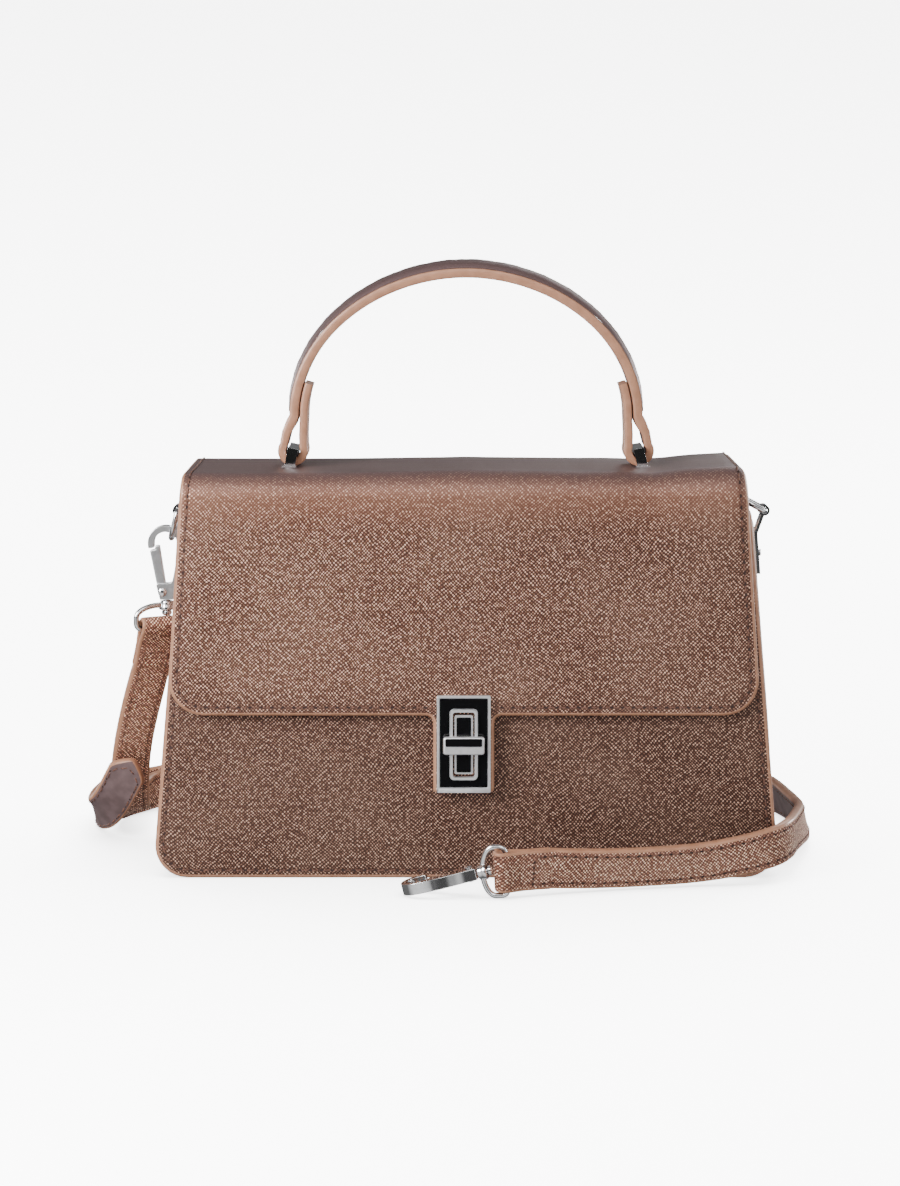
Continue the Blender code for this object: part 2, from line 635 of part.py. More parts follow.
def make_lock():
    base = GAP
    face = base + LOCK_PLATE_THICKNESS
    floor = face - LOCK_RECESS
    shape = rectangle(LOCK_PLATE_WIDTH, LOCK_PLATE_LENGTH, 0.0006)
    plate = lock_block("lock_plate", shape, base, face, CHROME)
    field_width = LOCK_PLATE_WIDTH - 2 * LOCK_RIM_SIDE
    field_length = LOCK_PLATE_LENGTH - LOCK_RIM_SIDE - LOCK_RIM_BOTTOM
    field_centre = (0, (LOCK_RIM_BOTTOM - LOCK_RIM_SIDE) / 2)
    field = prism(rectangle(field_width, field_length, 0.0004, field_centre), floor, face + 0.001, lock_point)
    slot = rectangle(SLOT_RIM_WIDTH - 2 * SLOT_RIM_WALL, SLOT_RIM_LENGTH - 2 * SLOT_RIM_WALL, 0.001)
    slot = tool(prism(slot, -CUT_MARGIN, face + CUT_MARGIN, lock_point), "lock_slot_cutter")
    cut(plate, tool(field, "lock_field_cutter"))
    cut(plate, slot)

    rim_low = floor + GAP
    rim_top = face + SLOT_RIM_RISE
    shape = rectangle(SLOT_RIM_WIDTH, SLOT_RIM_LENGTH, 0.0016)
    rim = lock_block("lock_slot_rim", shape, rim_low, rim_top, CHROME)
    cut(rim, slot)
    enamel_shape = rectangle(field_width - 2 * GAP, field_length - 2 * GAP, 0.0003, field_centre)
    enamel = lock_block("lock_enamel", enamel_shape, floor + GAP, face - GAP, ENAMEL)
    around = rectangle(SLOT_RIM_WIDTH + 2 * GAP, SLOT_RIM_LENGTH + 2 * GAP, 0.0018)
    around = prism(around, 0.0, face + CUT_MARGIN, lock_point)
    cut(enamel, tool(around, "enamel_cutter"))

    boss_top = face + 0.0002
    boss = lock_block("lock_boss", rectangle(BOSS_WIDTH, BOSS_LENGTH, 0.0008), base, boss_top, CHROME)
    bore = cylinder(lock_point(0, -0.008, 0), lock_point(0, 0.009, 0), SPINDLE_RADIUS + SPINDLE_CLEARANCE, 14)
    bore = tool(bore, "spindle_bore_cutter")
    cut(boss, bore)
    inner = rectangle(BOSS_WIDTH - 2 * BOSS_FACE_MARGIN, BOSS_LENGTH - 2 * BOSS_FACE_MARGIN, 0.0005)
    inlay = lock_block("lock_boss_inlay", inner, boss_top + GAP, boss_top + GAP + INLAY_THICKNESS, ENAMEL)
    cut(inlay, bore)

    bar_low = rim_top + GAP
    bar_top = bar_low + TURN_BAR_THICKNESS
    bar = lock_block("turn_bar", rectangle(TURN_BAR_LENGTH, TURN_BAR_WIDTH, 0.0012), bar_low, bar_top, CHROME)
    bevel(bar, 0.0005, 1)
    shape = rectangle(TURN_BAR_LENGTH - 0.002, TURN_BAR_INLAY_WIDTH, 0.0005, (0, 0.0015))
    lock_block("turn_bar_inlay", shape, bar_top + GAP / 2, bar_top + GAP / 2 + INLAY_THICKNESS, ENAMEL)
    under = -(FLAP_THICKNESS + GAP + FLAP_LINING_THICKNESS)
    plate_top = under - GAP
    plate_low = plate_top - BACK_PLATE_THICKNESS
    spindle = cylinder(lock_point(0, plate_low + GAP, 0), lock_point(0, bar_low - GAP, 0), SPINDLE_RADIUS, 14)
    smooth(piece("lock_spindle", spindle, CHROME, lock_point(0, 0, 0)))
    back = rectangle(BACK_PLATE_WIDTH, BACK_PLATE_LENGTH, 0.002)
    back_plate = lock_block("lock_back_plate", back, plate_low, plate_top, STEEL)
    cut(back_plate, bore)


# Handle: leather strap over an arch, turned round a ring at each end, with a padded cover on its outer face
def arch_point(angle, raise_by):
    across = (HANDLE_INNER_HALF_SPAN + raise_by) * math.cos(angle)
    return (across, 0.0, HANDLE_SPRING_HEIGHT + (HANDLE_INNER_RISE + raise_by) * math.sin(angle))


def loop_radius():
    corner = math.hypot(HANDLE_RING_BAR[0] / 2, HANDLE_RING_BAR[1] / 2)
    return corner + HANDLE_LOOP_CLEARANCE + HANDLE_LAYER_THICKNESS / 2


def handle_end(side):
    bar = (HANDLE_SPAN / 2, HANDLE_RING_BAR_HEIGHT)
    turn = loop_radius()
    layer = HANDLE_LAYER_THICKNESS
    inset = GAP + layer / 2 + 0.0001
    stations = []
    rise = HANDLE_RETURN_RISE / HANDLE_INNER_RISE
    for angle in np.linspace(math.asin(rise), 0, 4):
        x, _, z = arch_point(angle, -inset)
        stations.append((x, z, layer))
    split = HANDLE_SPRING_HEIGHT - bar[1]
    stations.append((bar[0] - turn * 0.92, bar[1] + split * 0.45, layer))
    for angle in np.linspace(math.radians(160), math.radians(395), 9):
        stations.append((bar[0] + turn * math.cos(angle), bar[1] + turn * math.sin(angle), layer))
    shoulder = HANDLE_INNER_HALF_SPAN + HANDLE_STRAP_THICKNESS / 2
    stations.append((shoulder + 0.0032, bar[1] + split * 0.52, layer * 1.1))
    stations.append((shoulder + 0.0012, bar[1] + split * 0.80, layer * 1.35))
    return [((side * x, 0.0, z), (0, 1, 0), thick) for x, z, thick in stations]


def make_handle():
    stations = handle_end(-1)
    for angle in np.linspace(math.pi, 0, 33):
        stations.append((arch_point(angle, HANDLE_STRAP_THICKNESS / 2), (0, 1, 0), HANDLE_STRAP_THICKNESS))
    stations += list(reversed(handle_end(1)))
    smooth(piece("handle_strap", band(stations, HANDLE_STRAP_WIDTH), LEATHER, (0, 0, HANDLE_SPRING_HEIGHT)))

    sections = []
    end = math.radians(HANDLE_PAD_END_ANGLE)
    for angle in np.linspace(end, math.pi - end, 41):
        shoulder = min(1.0, min(angle, math.pi - angle) / math.radians(14))
        rise = HANDLE_PAD_RISE * math.sin(shoulder * math.pi / 2) + 0.0003
        base = HANDLE_STRAP_THICKNESS + GAP
        section = []
        for share in np.linspace(-1, 1, 9):
            x, _, z = arch_point(angle, base + rise * (1 - share * share) ** 0.6)
            section.append((x, share * HANDLE_PAD_WIDTH / 2, z))
        x, _, z = arch_point(angle, base)
        section[0] = (x, -HANDLE_PAD_WIDTH / 2, z)
        section[-1] = (x, HANDLE_PAD_WIDTH / 2, z)
        sections.append(section)
    smooth(piece("handle_cover", loft(sections), LEATHER, (0, 0, HANDLE_SPRING_HEIGHT)))


def ring_leg_y():
    return HANDLE_STRAP_WIDTH / 2 + HANDLE_RING_CLEARANCE + HANDLE_RING_LEG / 2


def ring_foot_x(side):
    drop = HANDLE_RING_BAR_HEIGHT - BAG_HEIGHT
    return side * (HANDLE_SPAN / 2 + drop * math.tan(math.radians(HANDLE_RING_LEAN)))


def ring_posts():
    return [(ring_foot_x(side), y) for side in (-1, 1) for y in (-ring_leg_y(), ring_leg_y())]


def box(low, high):
    outline = [(low[0], low[2]), (high[0], low[2]), (high[0], high[2]), (low[0], high[2])]
    return prism(outline, low[1], high[1], lambda a, depth, b: (a, depth, b))


def make_handle_ring(name, side):
    bar_x, bar_z = HANDLE_RING_BAR
    leg_y = ring_leg_y()
    lean = math.radians(HANDLE_RING_LEAN) * side
    outer = leg_y + HANDLE_RING_LEG / 2
    inner = leg_y - HANDLE_RING_LEG / 2
    drop = HANDLE_RING_BAR_HEIGHT - BAG_HEIGHT - GAP
    top = bar_z / 2
    foot = -drop / math.cos(lean) + RING_FOOT_SIZE[2] / 2
    hoop = [(-outer, foot), (-inner, foot), (-inner, -top), (inner, -top)]
    hoop += [(inner, foot), (outer, foot), (outer, top), (-outer, top)]
    turned = Matrix.Rotation(-lean, 3, "Y")
    middle = Vector((side * HANDLE_SPAN / 2, 0, HANDLE_RING_BAR_HEIGHT))
    frame = prism(hoop, -bar_x / 2, bar_x / 2, lambda a, depth, b: middle + turned @ Vector((depth, a, b)))
    ring = piece(name, frame, CHROME)
    foot_x = ring_foot_x(side)
    for number, y in enumerate((-leg_y, leg_y)):
        low = BAG_HEIGHT + GAP
        half_x, half_y = RING_FOOT_SIZE[0] / 2, RING_FOOT_SIZE[1] / 2
        high = low + RING_FOOT_SIZE[2]
        flange = box((foot_x - half_x, y - half_y, low), (foot_x + half_x, y + half_y, high))
        cut(ring, tool(flange, f"{name}_foot_{number}"), "UNION")
        post_top = (foot_x, y, (low + high) / 2)
        post = cylinder((foot_x, y, POST_BOTTOM), post_top, RING_POST_RADIUS, 12)
        cut(ring, tool(post, f"{name}_post_{number}"), "UNION")
    return ring


def make_handle_fixings():
    bores = bmesh.new()
    for x, y in ring_posts():
        join(bores, cylinder((x, y, POST_BOTTOM - 0.002), (x, y, BAG_HEIGHT), RING_POST_RADIUS + GAP, 12))
    bores = tool(bores, "post_bore_cutter")
    half_x, half_y, deep = HANDLE_PLATE_SIZE[0] / 2, HANDLE_PLATE_SIZE[1] / 2, HANDLE_PLATE_SIZE[2]
    for name, side in (("left", -1), ("right", 1)):
        make_handle_ring(f"handle_ring_{name}", side)
        x = ring_foot_x(side)
        low = (x - half_x, -half_y, HANDLE_PLATE_TOP - deep)
        plate = piece(f"handle_plate_{name}", box(low, (x + half_x, half_y, HANDLE_PLATE_TOP)), STEEL)
        cut(plate, bores)
    for number, (x, y) in enumerate(ring_posts(), 1):
        top = HANDLE_PLATE_TOP - deep - GAP
        nut = cylinder((x, y, top - NUT_HEIGHT), (x, y, top), NUT_RADIUS, 6)
        cut(piece(f"handle_nut_{number}", nut, STEEL), bores)


# Side lugs and D-rings
def gusset_face(z, side):
    return half_width(z) + gusset_bulge(z, side)


def knuckle(side):
    reach = gusset_face((LUG_BOTTOM + LUG_TOP) / 2, side) + GAP + LUG_THICKNESS + KNUCKLE_OUT
    return Vector((side * reach, 0, KNUCKLE_HEIGHT))


def make_lug(name, side):
    hub = knuckle(side)
    bore = D_RING_WIRE + D_RING_BORE_CLEARANCE
    foot = gusset_face(LUG_BOTTOM, side) + GAP
    head = gusset_face(LUG_TOP, side) + GAP
    shape = [(foot, LUG_BOTTOM), (foot + LUG_THICKNESS, LUG_BOTTOM)]
    shape += [(head + LUG_THICKNESS, LUG_TOP), (head, LUG_TOP)]
    half = LUG_WIDTH / 2
    plate = prism([(side * a, b) for a, b in shape], -half, half, lambda a, depth, b: (a, depth, b))
    lug = piece(name, plate, CHROME)
    start = Vector((side * (head + LUG_THICKNESS / 2), LUG_TOP - 0.002))
    middle = Vector((hub.x, hub.z))
    along = (middle - start).normalized()
    across = Vector((along.y, -along.x))
    shape = [start - across * LUG_NECK_THICKNESS / 2, start + across * LUG_NECK_THICKNESS / 2]
    barrel = bore + BARREL_WALL
    meet = math.asin(LUG_NECK_THICKNESS / 2 / barrel)
    for turn in np.linspace(math.pi - meet, meet - math.pi, 15):
        shape.append(middle + (along * math.cos(turn) + across * math.sin(turn)) * barrel)
    half = BARREL_WIDTH / 2
    neck = prism([(p.x, p.y) for p in shape], -half, half, lambda a, depth, b: (a, depth, b))
    cut(lug, tool(neck, f"{name}_neck"), "UNION")
    ends = (hub + Vector((0, -half * 2, 0)), hub + Vector((0, half * 2, 0)))
    cut(lug, tool(cylinder(*ends, bore, 14), f"{name}_bore"))
    return lug


def make_side_rivets(name, side, lug, gusset):
    z = (LUG_BOTTOM + LUG_TOP) / 2
    face = gusset_face(z, side)
    outer = face + GAP + LUG_THICKNESS + GAP
    inner = face - GUSSET_THICKNESS
    holes = bmesh.new()
    for place, y in (("front", -RIVET_OFFSET), ("back", RIVET_OFFSET)):
        start = inner - GAP
        profile = [(0, RIVET_RADIUS), (outer - start, RIVET_RADIUS), (outer - start, RIVET_HEAD_RADIUS)]
        profile += [(outer - start + RIVET_HEAD_HEIGHT, RIVET_HEAD_RADIUS)]
        rivet = turned((side * start, y, z), (side, y, z), profile, 14)
        smooth(piece(f"{name}_{place}", rivet, CHROME))
        ends = ((side * (inner - 0.002), y, z), (side * (outer + 0.001), y, z))
        join(holes, cylinder(*ends, RIVET_RADIUS + GAP, 12))
    holes = tool(holes, f"{name}_holes")
    cut(lug, holes)
    cut(gusset, holes)


# A D in its own plane: a straight bar on the hinge line and a bow that reaches out along the aim
def d_ring(name, side, aim):
    hub = knuckle(side)
    half = D_RING_HALF_WIDTH
    straight = D_RING_REACH - half
    loop = rounded([(-half, straight, 0), (-half, 0, 0.001), (half, 0, 0.001), (half, straight, 0)], 2)
    for turn in np.linspace(0, math.pi, 11)[1:-1]:
        loop.append((half * math.cos(turn), straight + half * math.sin(turn)))
    points = [hub + Vector((aim[0] * b, a, aim[1] * b)) for a, b in loop]
    return wire(name, points, D_RING_WIRE, CHROME, hub, closed=True)


# Trigger hook: its own frame has x across, z up along the hook from the swivel, y through its thickness
def hook_outline():
    wide, inner = HOOK_HALF_WIDTH, HOOK_HALF_WIDTH - HOOK_WIRE
    centre = HOOK_BOW_CENTRE
    outline = [(-0.0026, 0), (0.0028, 0), (0.0040, 0.005), (0.0058, 0.011), (0.0071, 0.0175)]
    outline += [(wide * math.cos(t), centre + wide * math.sin(t)) for t in np.linspace(0, math.pi, 13)]
    outline += [(-wide + 0.0001, HOOK_NOSE), (-inner, HOOK_NOSE + 0.0003)]
    outline += [(inner * math.cos(t), centre + inner * math.sin(t)) for t in np.linspace(math.pi, 0, 11)]
    outline += [(0.0044, 0.0175), (0.0034, 0.0115), (0.0022, HOOK_BASE_TOP)]
    outline += [(-0.0036, HOOK_BASE_TOP), (-0.0041, 0.006)]
    return outline


def gate_outline():
    pivot = Vector(HOOK_RIVET_OFFSET)
    nose = Vector((-HOOK_HALF_WIDTH + HOOK_WIRE + GAP + GATE_WIDTH / 2, HOOK_NOSE + 0.0012))
    along = (nose - pivot).normalized()
    side = Vector((along.y, -along.x)) * GATE_WIDTH / 2
    outline = [nose + side, nose - side]
    start = math.atan2(-side.y, -side.x)
    for step in range(7):
        turn = start + math.pi * step / 6
        outline.append(pivot + Vector((math.cos(turn), math.sin(turn))) * GATE_ROOT_RADIUS)
    return [(point.x, point.y) for point in outline]


def ring_loop(slide, lean):
    half, deep = SWIVEL_RING_HALF_WIDTH, SWIVEL_RING_DEPTH
    corner = 0.0022
    points = [(-half, -deep / 2, 0), (-half, -deep, corner), (half, -deep, corner), (half, -deep / 2, 0)]
    points = rounded(points, 3)
    for turn in np.linspace(0, math.pi, 13)[1:-1]:
        points.append((half * math.cos(turn), -deep * 0.5 + deep * 0.5 * math.sin(turn)))
    sine, cosine = math.sin(lean), math.cos(lean)
    return [((a + slide) * cosine + b * sine, b * cosine - (a + slide) * sine) for a, b in points]


# Builds a hook, its gate and rivet, swivel pin and ring, placed by a matrix from the hook's own frame
# The ring is turned about the pin, slides sideways through its hub and leans in its own plane
def make_hook(name, place, ring_turn, slide, lean):
    def at(a, depth, b):
        return place @ Vector((a, depth, b))

    half = HOOK_THICKNESS / 2
    hook = piece(f"{name}_body", prism(hook_outline(), -half, half, at), CHROME, at(0, 0, 0))
    slot = [(-0.009, 0.0012), (0.0016, 0.0012), (0.0016, 0.0035), (0.0040, 0.0120)]
    slot += [(-0.0032, 0.0120), (-0.009, 0.0090)]
    slot = tool(prism(slot, -GATE_SLOT / 2, GATE_SLOT / 2, at), f"{name}_slot")
    cut(hook, slot)
    x, z = HOOK_RIVET_OFFSET
    bore = cylinder(at(x, -CUT_MARGIN, z), at(x, CUT_MARGIN, z), HOOK_RIVET_RADIUS + GAP, 12)
    bore = tool(bore, f"{name}_rivet_bore")
    cut(hook, bore)
    gate = prism(gate_outline(), -GATE_THICKNESS / 2, GATE_THICKNESS / 2, at)
    gate = piece(f"{name}_gate", gate, CHROME, at(x, 0, z))
    cut(gate, bore)
    head, reach = HOOK_RIVET_HEAD_HEIGHT, half + GAP + HOOK_RIVET_HEAD_HEIGHT
    profile = [(0, HOOK_RIVET_HEAD), (head, HOOK_RIVET_HEAD), (head, HOOK_RIVET_RADIUS)]
    profile += [(2 * reach - along, radius) for along, radius in reversed(profile)]
    smooth(piece(f"{name}_rivet", turned(at(x, -reach, z), at(x, reach, z), profile, 14), CHROME))

    hub_top = -GAP
    hub_low = hub_top - HUB_HEIGHT
    middle = (hub_top + hub_low) / 2
    shank = HUB_HEIGHT + GAP
    profile = [(0, PIN_RADIUS), (shank, PIN_RADIUS), (shank, PIN_HEAD_RADIUS)]
    profile += [(shank + PIN_HEAD_HEIGHT, PIN_HEAD_RADIUS)]
    smooth(piece(f"{name}_pin", turned(at(0, 0, -GAP), at(0, 0, -1), profile, 14), CHROME))

    hub = cylinder(at(0, 0, hub_low), at(0, 0, hub_top - GAP), HUB_RADIUS, 16)
    hub = piece(f"{name}_ring", hub, CHROME)
    across, along = math.cos(ring_turn), math.sin(ring_turn)
    points = [at(a * across, a * along, middle + b) for a, b in ring_loop(slide, lean)]
    hoop = loop_mesh(points, SWIVEL_RING_WIRE, 8)
    cut(hub, tool(hoop, f"{name}_ring_hoop"), "UNION")
    bore = cylinder(at(0, 0, hub_low - 0.0021), at(0, 0, 0.002), PIN_RADIUS + GAP, 12)
    cut(hub, tool(bore, f"{name}_ring_bore"))
    return middle - SWIVEL_RING_DEPTH


# A closed round wire through points that lie in one plane
def loop_mesh(points, radius, sides):
    count = len(points)
    first, second, third = (Vector(points[index * count // 3]) for index in range(3))
    normal = (second - first).cross(third - first).normalized()
    sections = []
    for index, point in enumerate(points):
        ahead = Vector(points[(index + 1) % count]) - Vector(points[index - 1])
        out = ahead.cross(normal).normalized()
        turns = [2 * math.pi * (step + 0.5) / sides for step in range(sides)]
        sections.append([Vector(point) + (out * math.cos(t) + normal * math.sin(t)) * radius for t in turns])
    return loft(sections, closed=True)


# Hooks as they lie: the left one hangs from its D-ring, the other lies on the floor with its tip down
def hook_place(base, tilt, yaw):
    sine, cosine = math.sin(tilt), math.cos(tilt)
    turned_down = Matrix(((0, -sine, -cosine), (-1, 0, 0), (0, cosine, -sine))).to_4x4()
    return Matrix.Translation(base) @ Matrix.Rotation(yaw, 4, "Z") @ turned_down


def swivel_eye(place, ring_turn, slide, lean):
    hub = -GAP - HUB_HEIGHT / 2 - GAP / 2
    across = slide * math.cos(lean) - SWIVEL_RING_DEPTH * math.sin(lean)
    along = hub - SWIVEL_RING_DEPTH * math.cos(lean) - slide * math.sin(lean)
    return place @ Vector((across * math.cos(ring_turn), across * math.sin(ring_turn), along))


HOOK_LEFT_PLACE = Matrix.Translation(knuckle(-1) - Vector((HOOK_LEFT_OUT, 0, HOOK_LEFT_DROP)))
FRONT_HOOK_BASE = (0.0041, -BASE_DEPTH / 2 - FRONT_HOOK_OUT, 0.0100)
HOOK_RIGHT_PLACE = hook_place(FRONT_HOOK_BASE, math.radians(14), math.radians(-10))
LEFT_RING = (math.radians(25), -0.0036, 0.0)
FRONT_RING = (math.pi / 2, 0.0, math.radians(10))
LEFT_EYE = swivel_eye(HOOK_LEFT_PLACE, *LEFT_RING)
FRONT_EYE = swivel_eye(HOOK_RIGHT_PLACE, *FRONT_RING)
BUCKLE_EYE = Vector((-0.1000, 0.0930, 0.0118))
TAIL_JOINT = -0.1235

# Shoulder strap. Each route point is (x, y, z) and the direction of the strap's width there, by hand
SHORT_ROUTE = [
    ((-0.1308, 0.0045, 0.0800), (0.906, 0.423, 0.0)),
    ((-0.1345, 0.0090, 0.0675), (0.94, 0.34, 0.0)),
    ((-0.1380, 0.0145, 0.0550), (0.93, 0.36, 0.0)),
    ((-0.1408, 0.0200, 0.0430), (0.92, 0.36, 0.0)),
    ((-0.1430, 0.0275, 0.0300), (0.94, 0.28, 0.0)),
    ((-0.1442, 0.0370, 0.0175), (0.98, 0.15, 0.0)),
    ((-0.1450, 0.0480, 0.0100), (0.97, 0.0, 0.20)),
    ((-0.1455, 0.0600, 0.0080), (0.80, 0.0, 0.60)),
    ((-0.1448, 0.0725, 0.0086), (0.45, 0.0, 0.89)),
    ((-0.1405, 0.0840, 0.0090), (0.12, 0.0, 0.99)),
    ((-0.1340, 0.0908, 0.0100), (0.0, 0.0, 1.0)),
    ((-0.1280, 0.0929, 0.0115), (0.0, 0.0, 1.0)),
    ((-0.1180, 0.0930, 0.0118), (0.0, 0.0, 1.0)),
]
TAIL_ROUTE = [
    ((TAIL_JOINT - GAP, 0.0972, 0.0117), (0.0, 0.0, 1.0)),
    ((-0.1290, 0.0972, 0.0115), (0.0, 0.0, 1.0)),
    ((-0.1360, 0.0968, 0.0102), (0.0, 0.0, 1.0)),
    ((-0.1430, 0.0945, 0.0093), (0.0, 0.0, 1.0)),
    ((-0.1520, 0.0870, 0.0090), (0.0, 0.0, 1.0)),
    ((-0.1580, 0.0755, 0.0090), (0.0, 0.0, 1.0)),
    ((-0.1600, 0.0630, 0.0090), (0.0, 0.0, 1.0)),
    ((-0.1600, 0.0520, 0.0092), (-0.12, 0.0, 0.99)),
    ((-0.1585, 0.0420, 0.0098), (-0.34, 0.0, 0.94)),
    ((-0.1557, 0.0330, 0.0118), (-0.58, -0.08, 0.81)),
    ((-0.1520, 0.0258, 0.0162), (-0.78, -0.10, 0.62)),
    ((-0.1477, 0.0200, 0.0232), (-0.86, -0.05, 0.50)),
    ((-0.1432, 0.0160, 0.0318), (-0.88, 0.0, 0.47)),
]
LONG_ROUTE = [
    ((TAIL_JOINT, 0.0972, 0.0117), (0.0, 0.0, 1.0)),
    ((-0.1100, 0.0980, 0.0118), (0.0, 0.0, 1.0)),
    ((-0.1000, 0.0990, 0.0118), (0.0, 0.0, 1.0)),
    ((-0.0950, 0.0977, 0.0118), (0.0, 0.0, 1.0)),
    ((-0.0885, 0.0930, 0.0118), (0.0, 0.0, 1.0)),
    ((-0.0815, 0.0888, 0.0118), (0.0, 0.0, 1.0)),
    ((-0.0730, 0.0880, 0.0112), (0.0, 0.0, 1.0)),
    ((-0.0560, 0.0880, 0.0090), (0.0, 0.0, 1.0)),
    ((-0.0100, 0.0880, 0.0090), (0.0, 0.0, 1.0)),
    ((0.0250, 0.0885, 0.0090), (0.0, 0.0, 1.0)),
    ((0.0440, 0.0950, 0.0090), (0.0, 0.0, 1.0)),
    ((0.0520, 0.1110, 0.0090), (0.0, 0.0, 1.0)),
    ((0.0440, 0.1270, 0.0090), (0.0, 0.0, 1.0)),
    ((0.0250, 0.1335, 0.0090), (0.0, 0.0, 1.0)),
    ((-0.0250, 0.1345, 0.0090), (0.0, 0.0, 1.0)),
    ((-0.0440, 0.1410, 0.0090), (0.0, 0.0, 1.0)),
    ((-0.0520, 0.1570, 0.0090), (0.0, 0.0, 1.0)),
    ((-0.0440, 0.1730, 0.0090), (0.0, 0.0, 1.0)),
    ((-0.0250, 0.1795, 0.0090), (0.0, 0.0, 1.0)),
    ((0.0250, 0.1795, 0.0090), (0.0, 0.0, 1.0)),
    ((0.0650, 0.1720, 0.0090), (0.0, 0.0, 1.0)),
    ((0.1000, 0.1480, 0.0090), (0.0, 0.0, 1.0)),
    ((0.1240, 0.1150, 0.0089), (-0.10, 0.0, 0.99)),
    ((0.1375, 0.0800, 0.0088), (-0.22, 0.0, 0.97)),
    ((0.1428, 0.0520, 0.0090), (-0.34, 0.0, 0.94)),
    ((0.1434, 0.0300, 0.0104), (-0.30, 0.0, 0.95)),
    ((0.1418, 0.0100, 0.0124), (-0.18, 0.0, 0.98)),
    ((0.1381, -0.0080, 0.0144), (-0.08, 0.0, 1.0)),
    ((0.1342, -0.0240, 0.0157), (0.0, 0.0, 1.0)),
    ((0.1303, -0.0385, 0.0163), (0.0, 0.0, 1.0)),
    ((0.1242, -0.0480, 0.0155), (0.0, 0.0, 1.0)),
    ((0.1120, -0.0520, 0.0130), (0.0, 0.0, 1.0)),
    ((0.0940, -0.0540, 0.0099), (0.0, 0.0, 1.0)),
    ((0.0690, -0.0588, 0.0091), (0.0, 0.0, 1.0)),
    ((0.0500, -0.0628, 0.0097), (-0.03, 0.0, 1.0)),
    ((0.0330, -0.0672, 0.0110), (-0.06, 0.0, 1.0)),
]
STRAP_STEP = 0.006


# The strap's stations along a route. A looped end goes round a wire at the eye, as two thin layers
def strap_stations(route, start_eye=None, end_eye=None, reach=0.0, end_reach=0.0):
    rows = smooth_curve([(*place, *across) for place, across in route], STRAP_STEP)
    stations = [(row[:3], row[3:6], STRAP_THICKNESS) for row in rows]
    if start_eye is not None:
        stations = turned_end(stations, start_eye, reach, 1) + stations[1:]
    if end_eye is not None:
        stations.reverse()
        stations = turned_end(stations, end_eye, end_reach, -1) + stations[1:]
        stations.reverse()
    return stations


# Stations of an end that is turned back round a wire at the eye, then lies against the strap
def turned_end(stations, eye, reach, way):
    across = Vector(stations[0][1]).normalized()
    away = Vector(stations[0][0]) - eye
    distance = away.length
    away.normalize()
    side = away.cross(across).normalized() * way
    turn = SWIVEL_RING_WIRE + GAP + STRAP_LAYER / 2
    lap = (STRAP_LAYER + GAP) / 2
    made = []
    for share in np.linspace(0.88, 0.42, 4):
        made.append((eye + away * distance * share + side * lap, across, STRAP_LAYER))
    for angle in np.radians([60, 90, 90, 120, 150, 180, 210, 240, 270, 270, 300]):
        shift = reach if math.cos(angle) < -0.01 else 0.0
        out = away * (turn * math.cos(angle) - shift) + side * turn * math.sin(angle)
        made.append((eye + out, across, STRAP_LAYER))
    made[5] = (made[5][0] + away * 0.0004, across, STRAP_LAYER)
    made[6] = (made[6][0] - away * (reach + 0.0002), across, STRAP_LAYER)
    made[12] = (made[12][0] - away * (reach + 0.0002), across, STRAP_LAYER)
    made[13] = (made[13][0] + away * 0.0004, across, STRAP_LAYER)
    for share in np.linspace(0.42, 1.0, 4):
        made.append((eye + away * distance * share - side * lap, across, STRAP_LAYER))
    return made


def make_strap():
    short = strap_stations(SHORT_ROUTE, LEFT_EYE, BUCKLE_EYE, STRAP_FOLD_REACH)
    short = smooth(piece("strap_short", band(short, STRAP_WIDTH), LEATHER))
    x, y, z = BUCKLE_EYE
    half = PRONG_THICKNESS / 2 + GAP
    slot = box((x - 0.004, y - 0.006, z - half), (x + 0.006, y + 0.006, z + half))
    cut(short, tool(slot, "prong_slot_cutter"))
    long = strap_stations(LONG_ROUTE, end_eye=FRONT_EYE, end_reach=STRAP_FOLD_REACH)
    long = smooth(piece("strap_long", band(long, STRAP_WIDTH), LEATHER))
    hole = box((x + 0.002, y + 0.0015, z - half), (x + 0.016, y + 0.0042, z + half))
    cut(long, tool(hole, "prong_hole_cutter"))
    tail = strap_stations(TAIL_ROUTE)
    ahead = (Vector(tail[-1][0]) - Vector(tail[-2][0])).normalized()
    tail.append((Vector(tail[-1][0]) + ahead * STRAP_POINT, tail[-1][1], STRAP_THICKNESS, 0.12))
    smooth(piece("strap_tail", band(tail, STRAP_WIDTH), LEATHER))


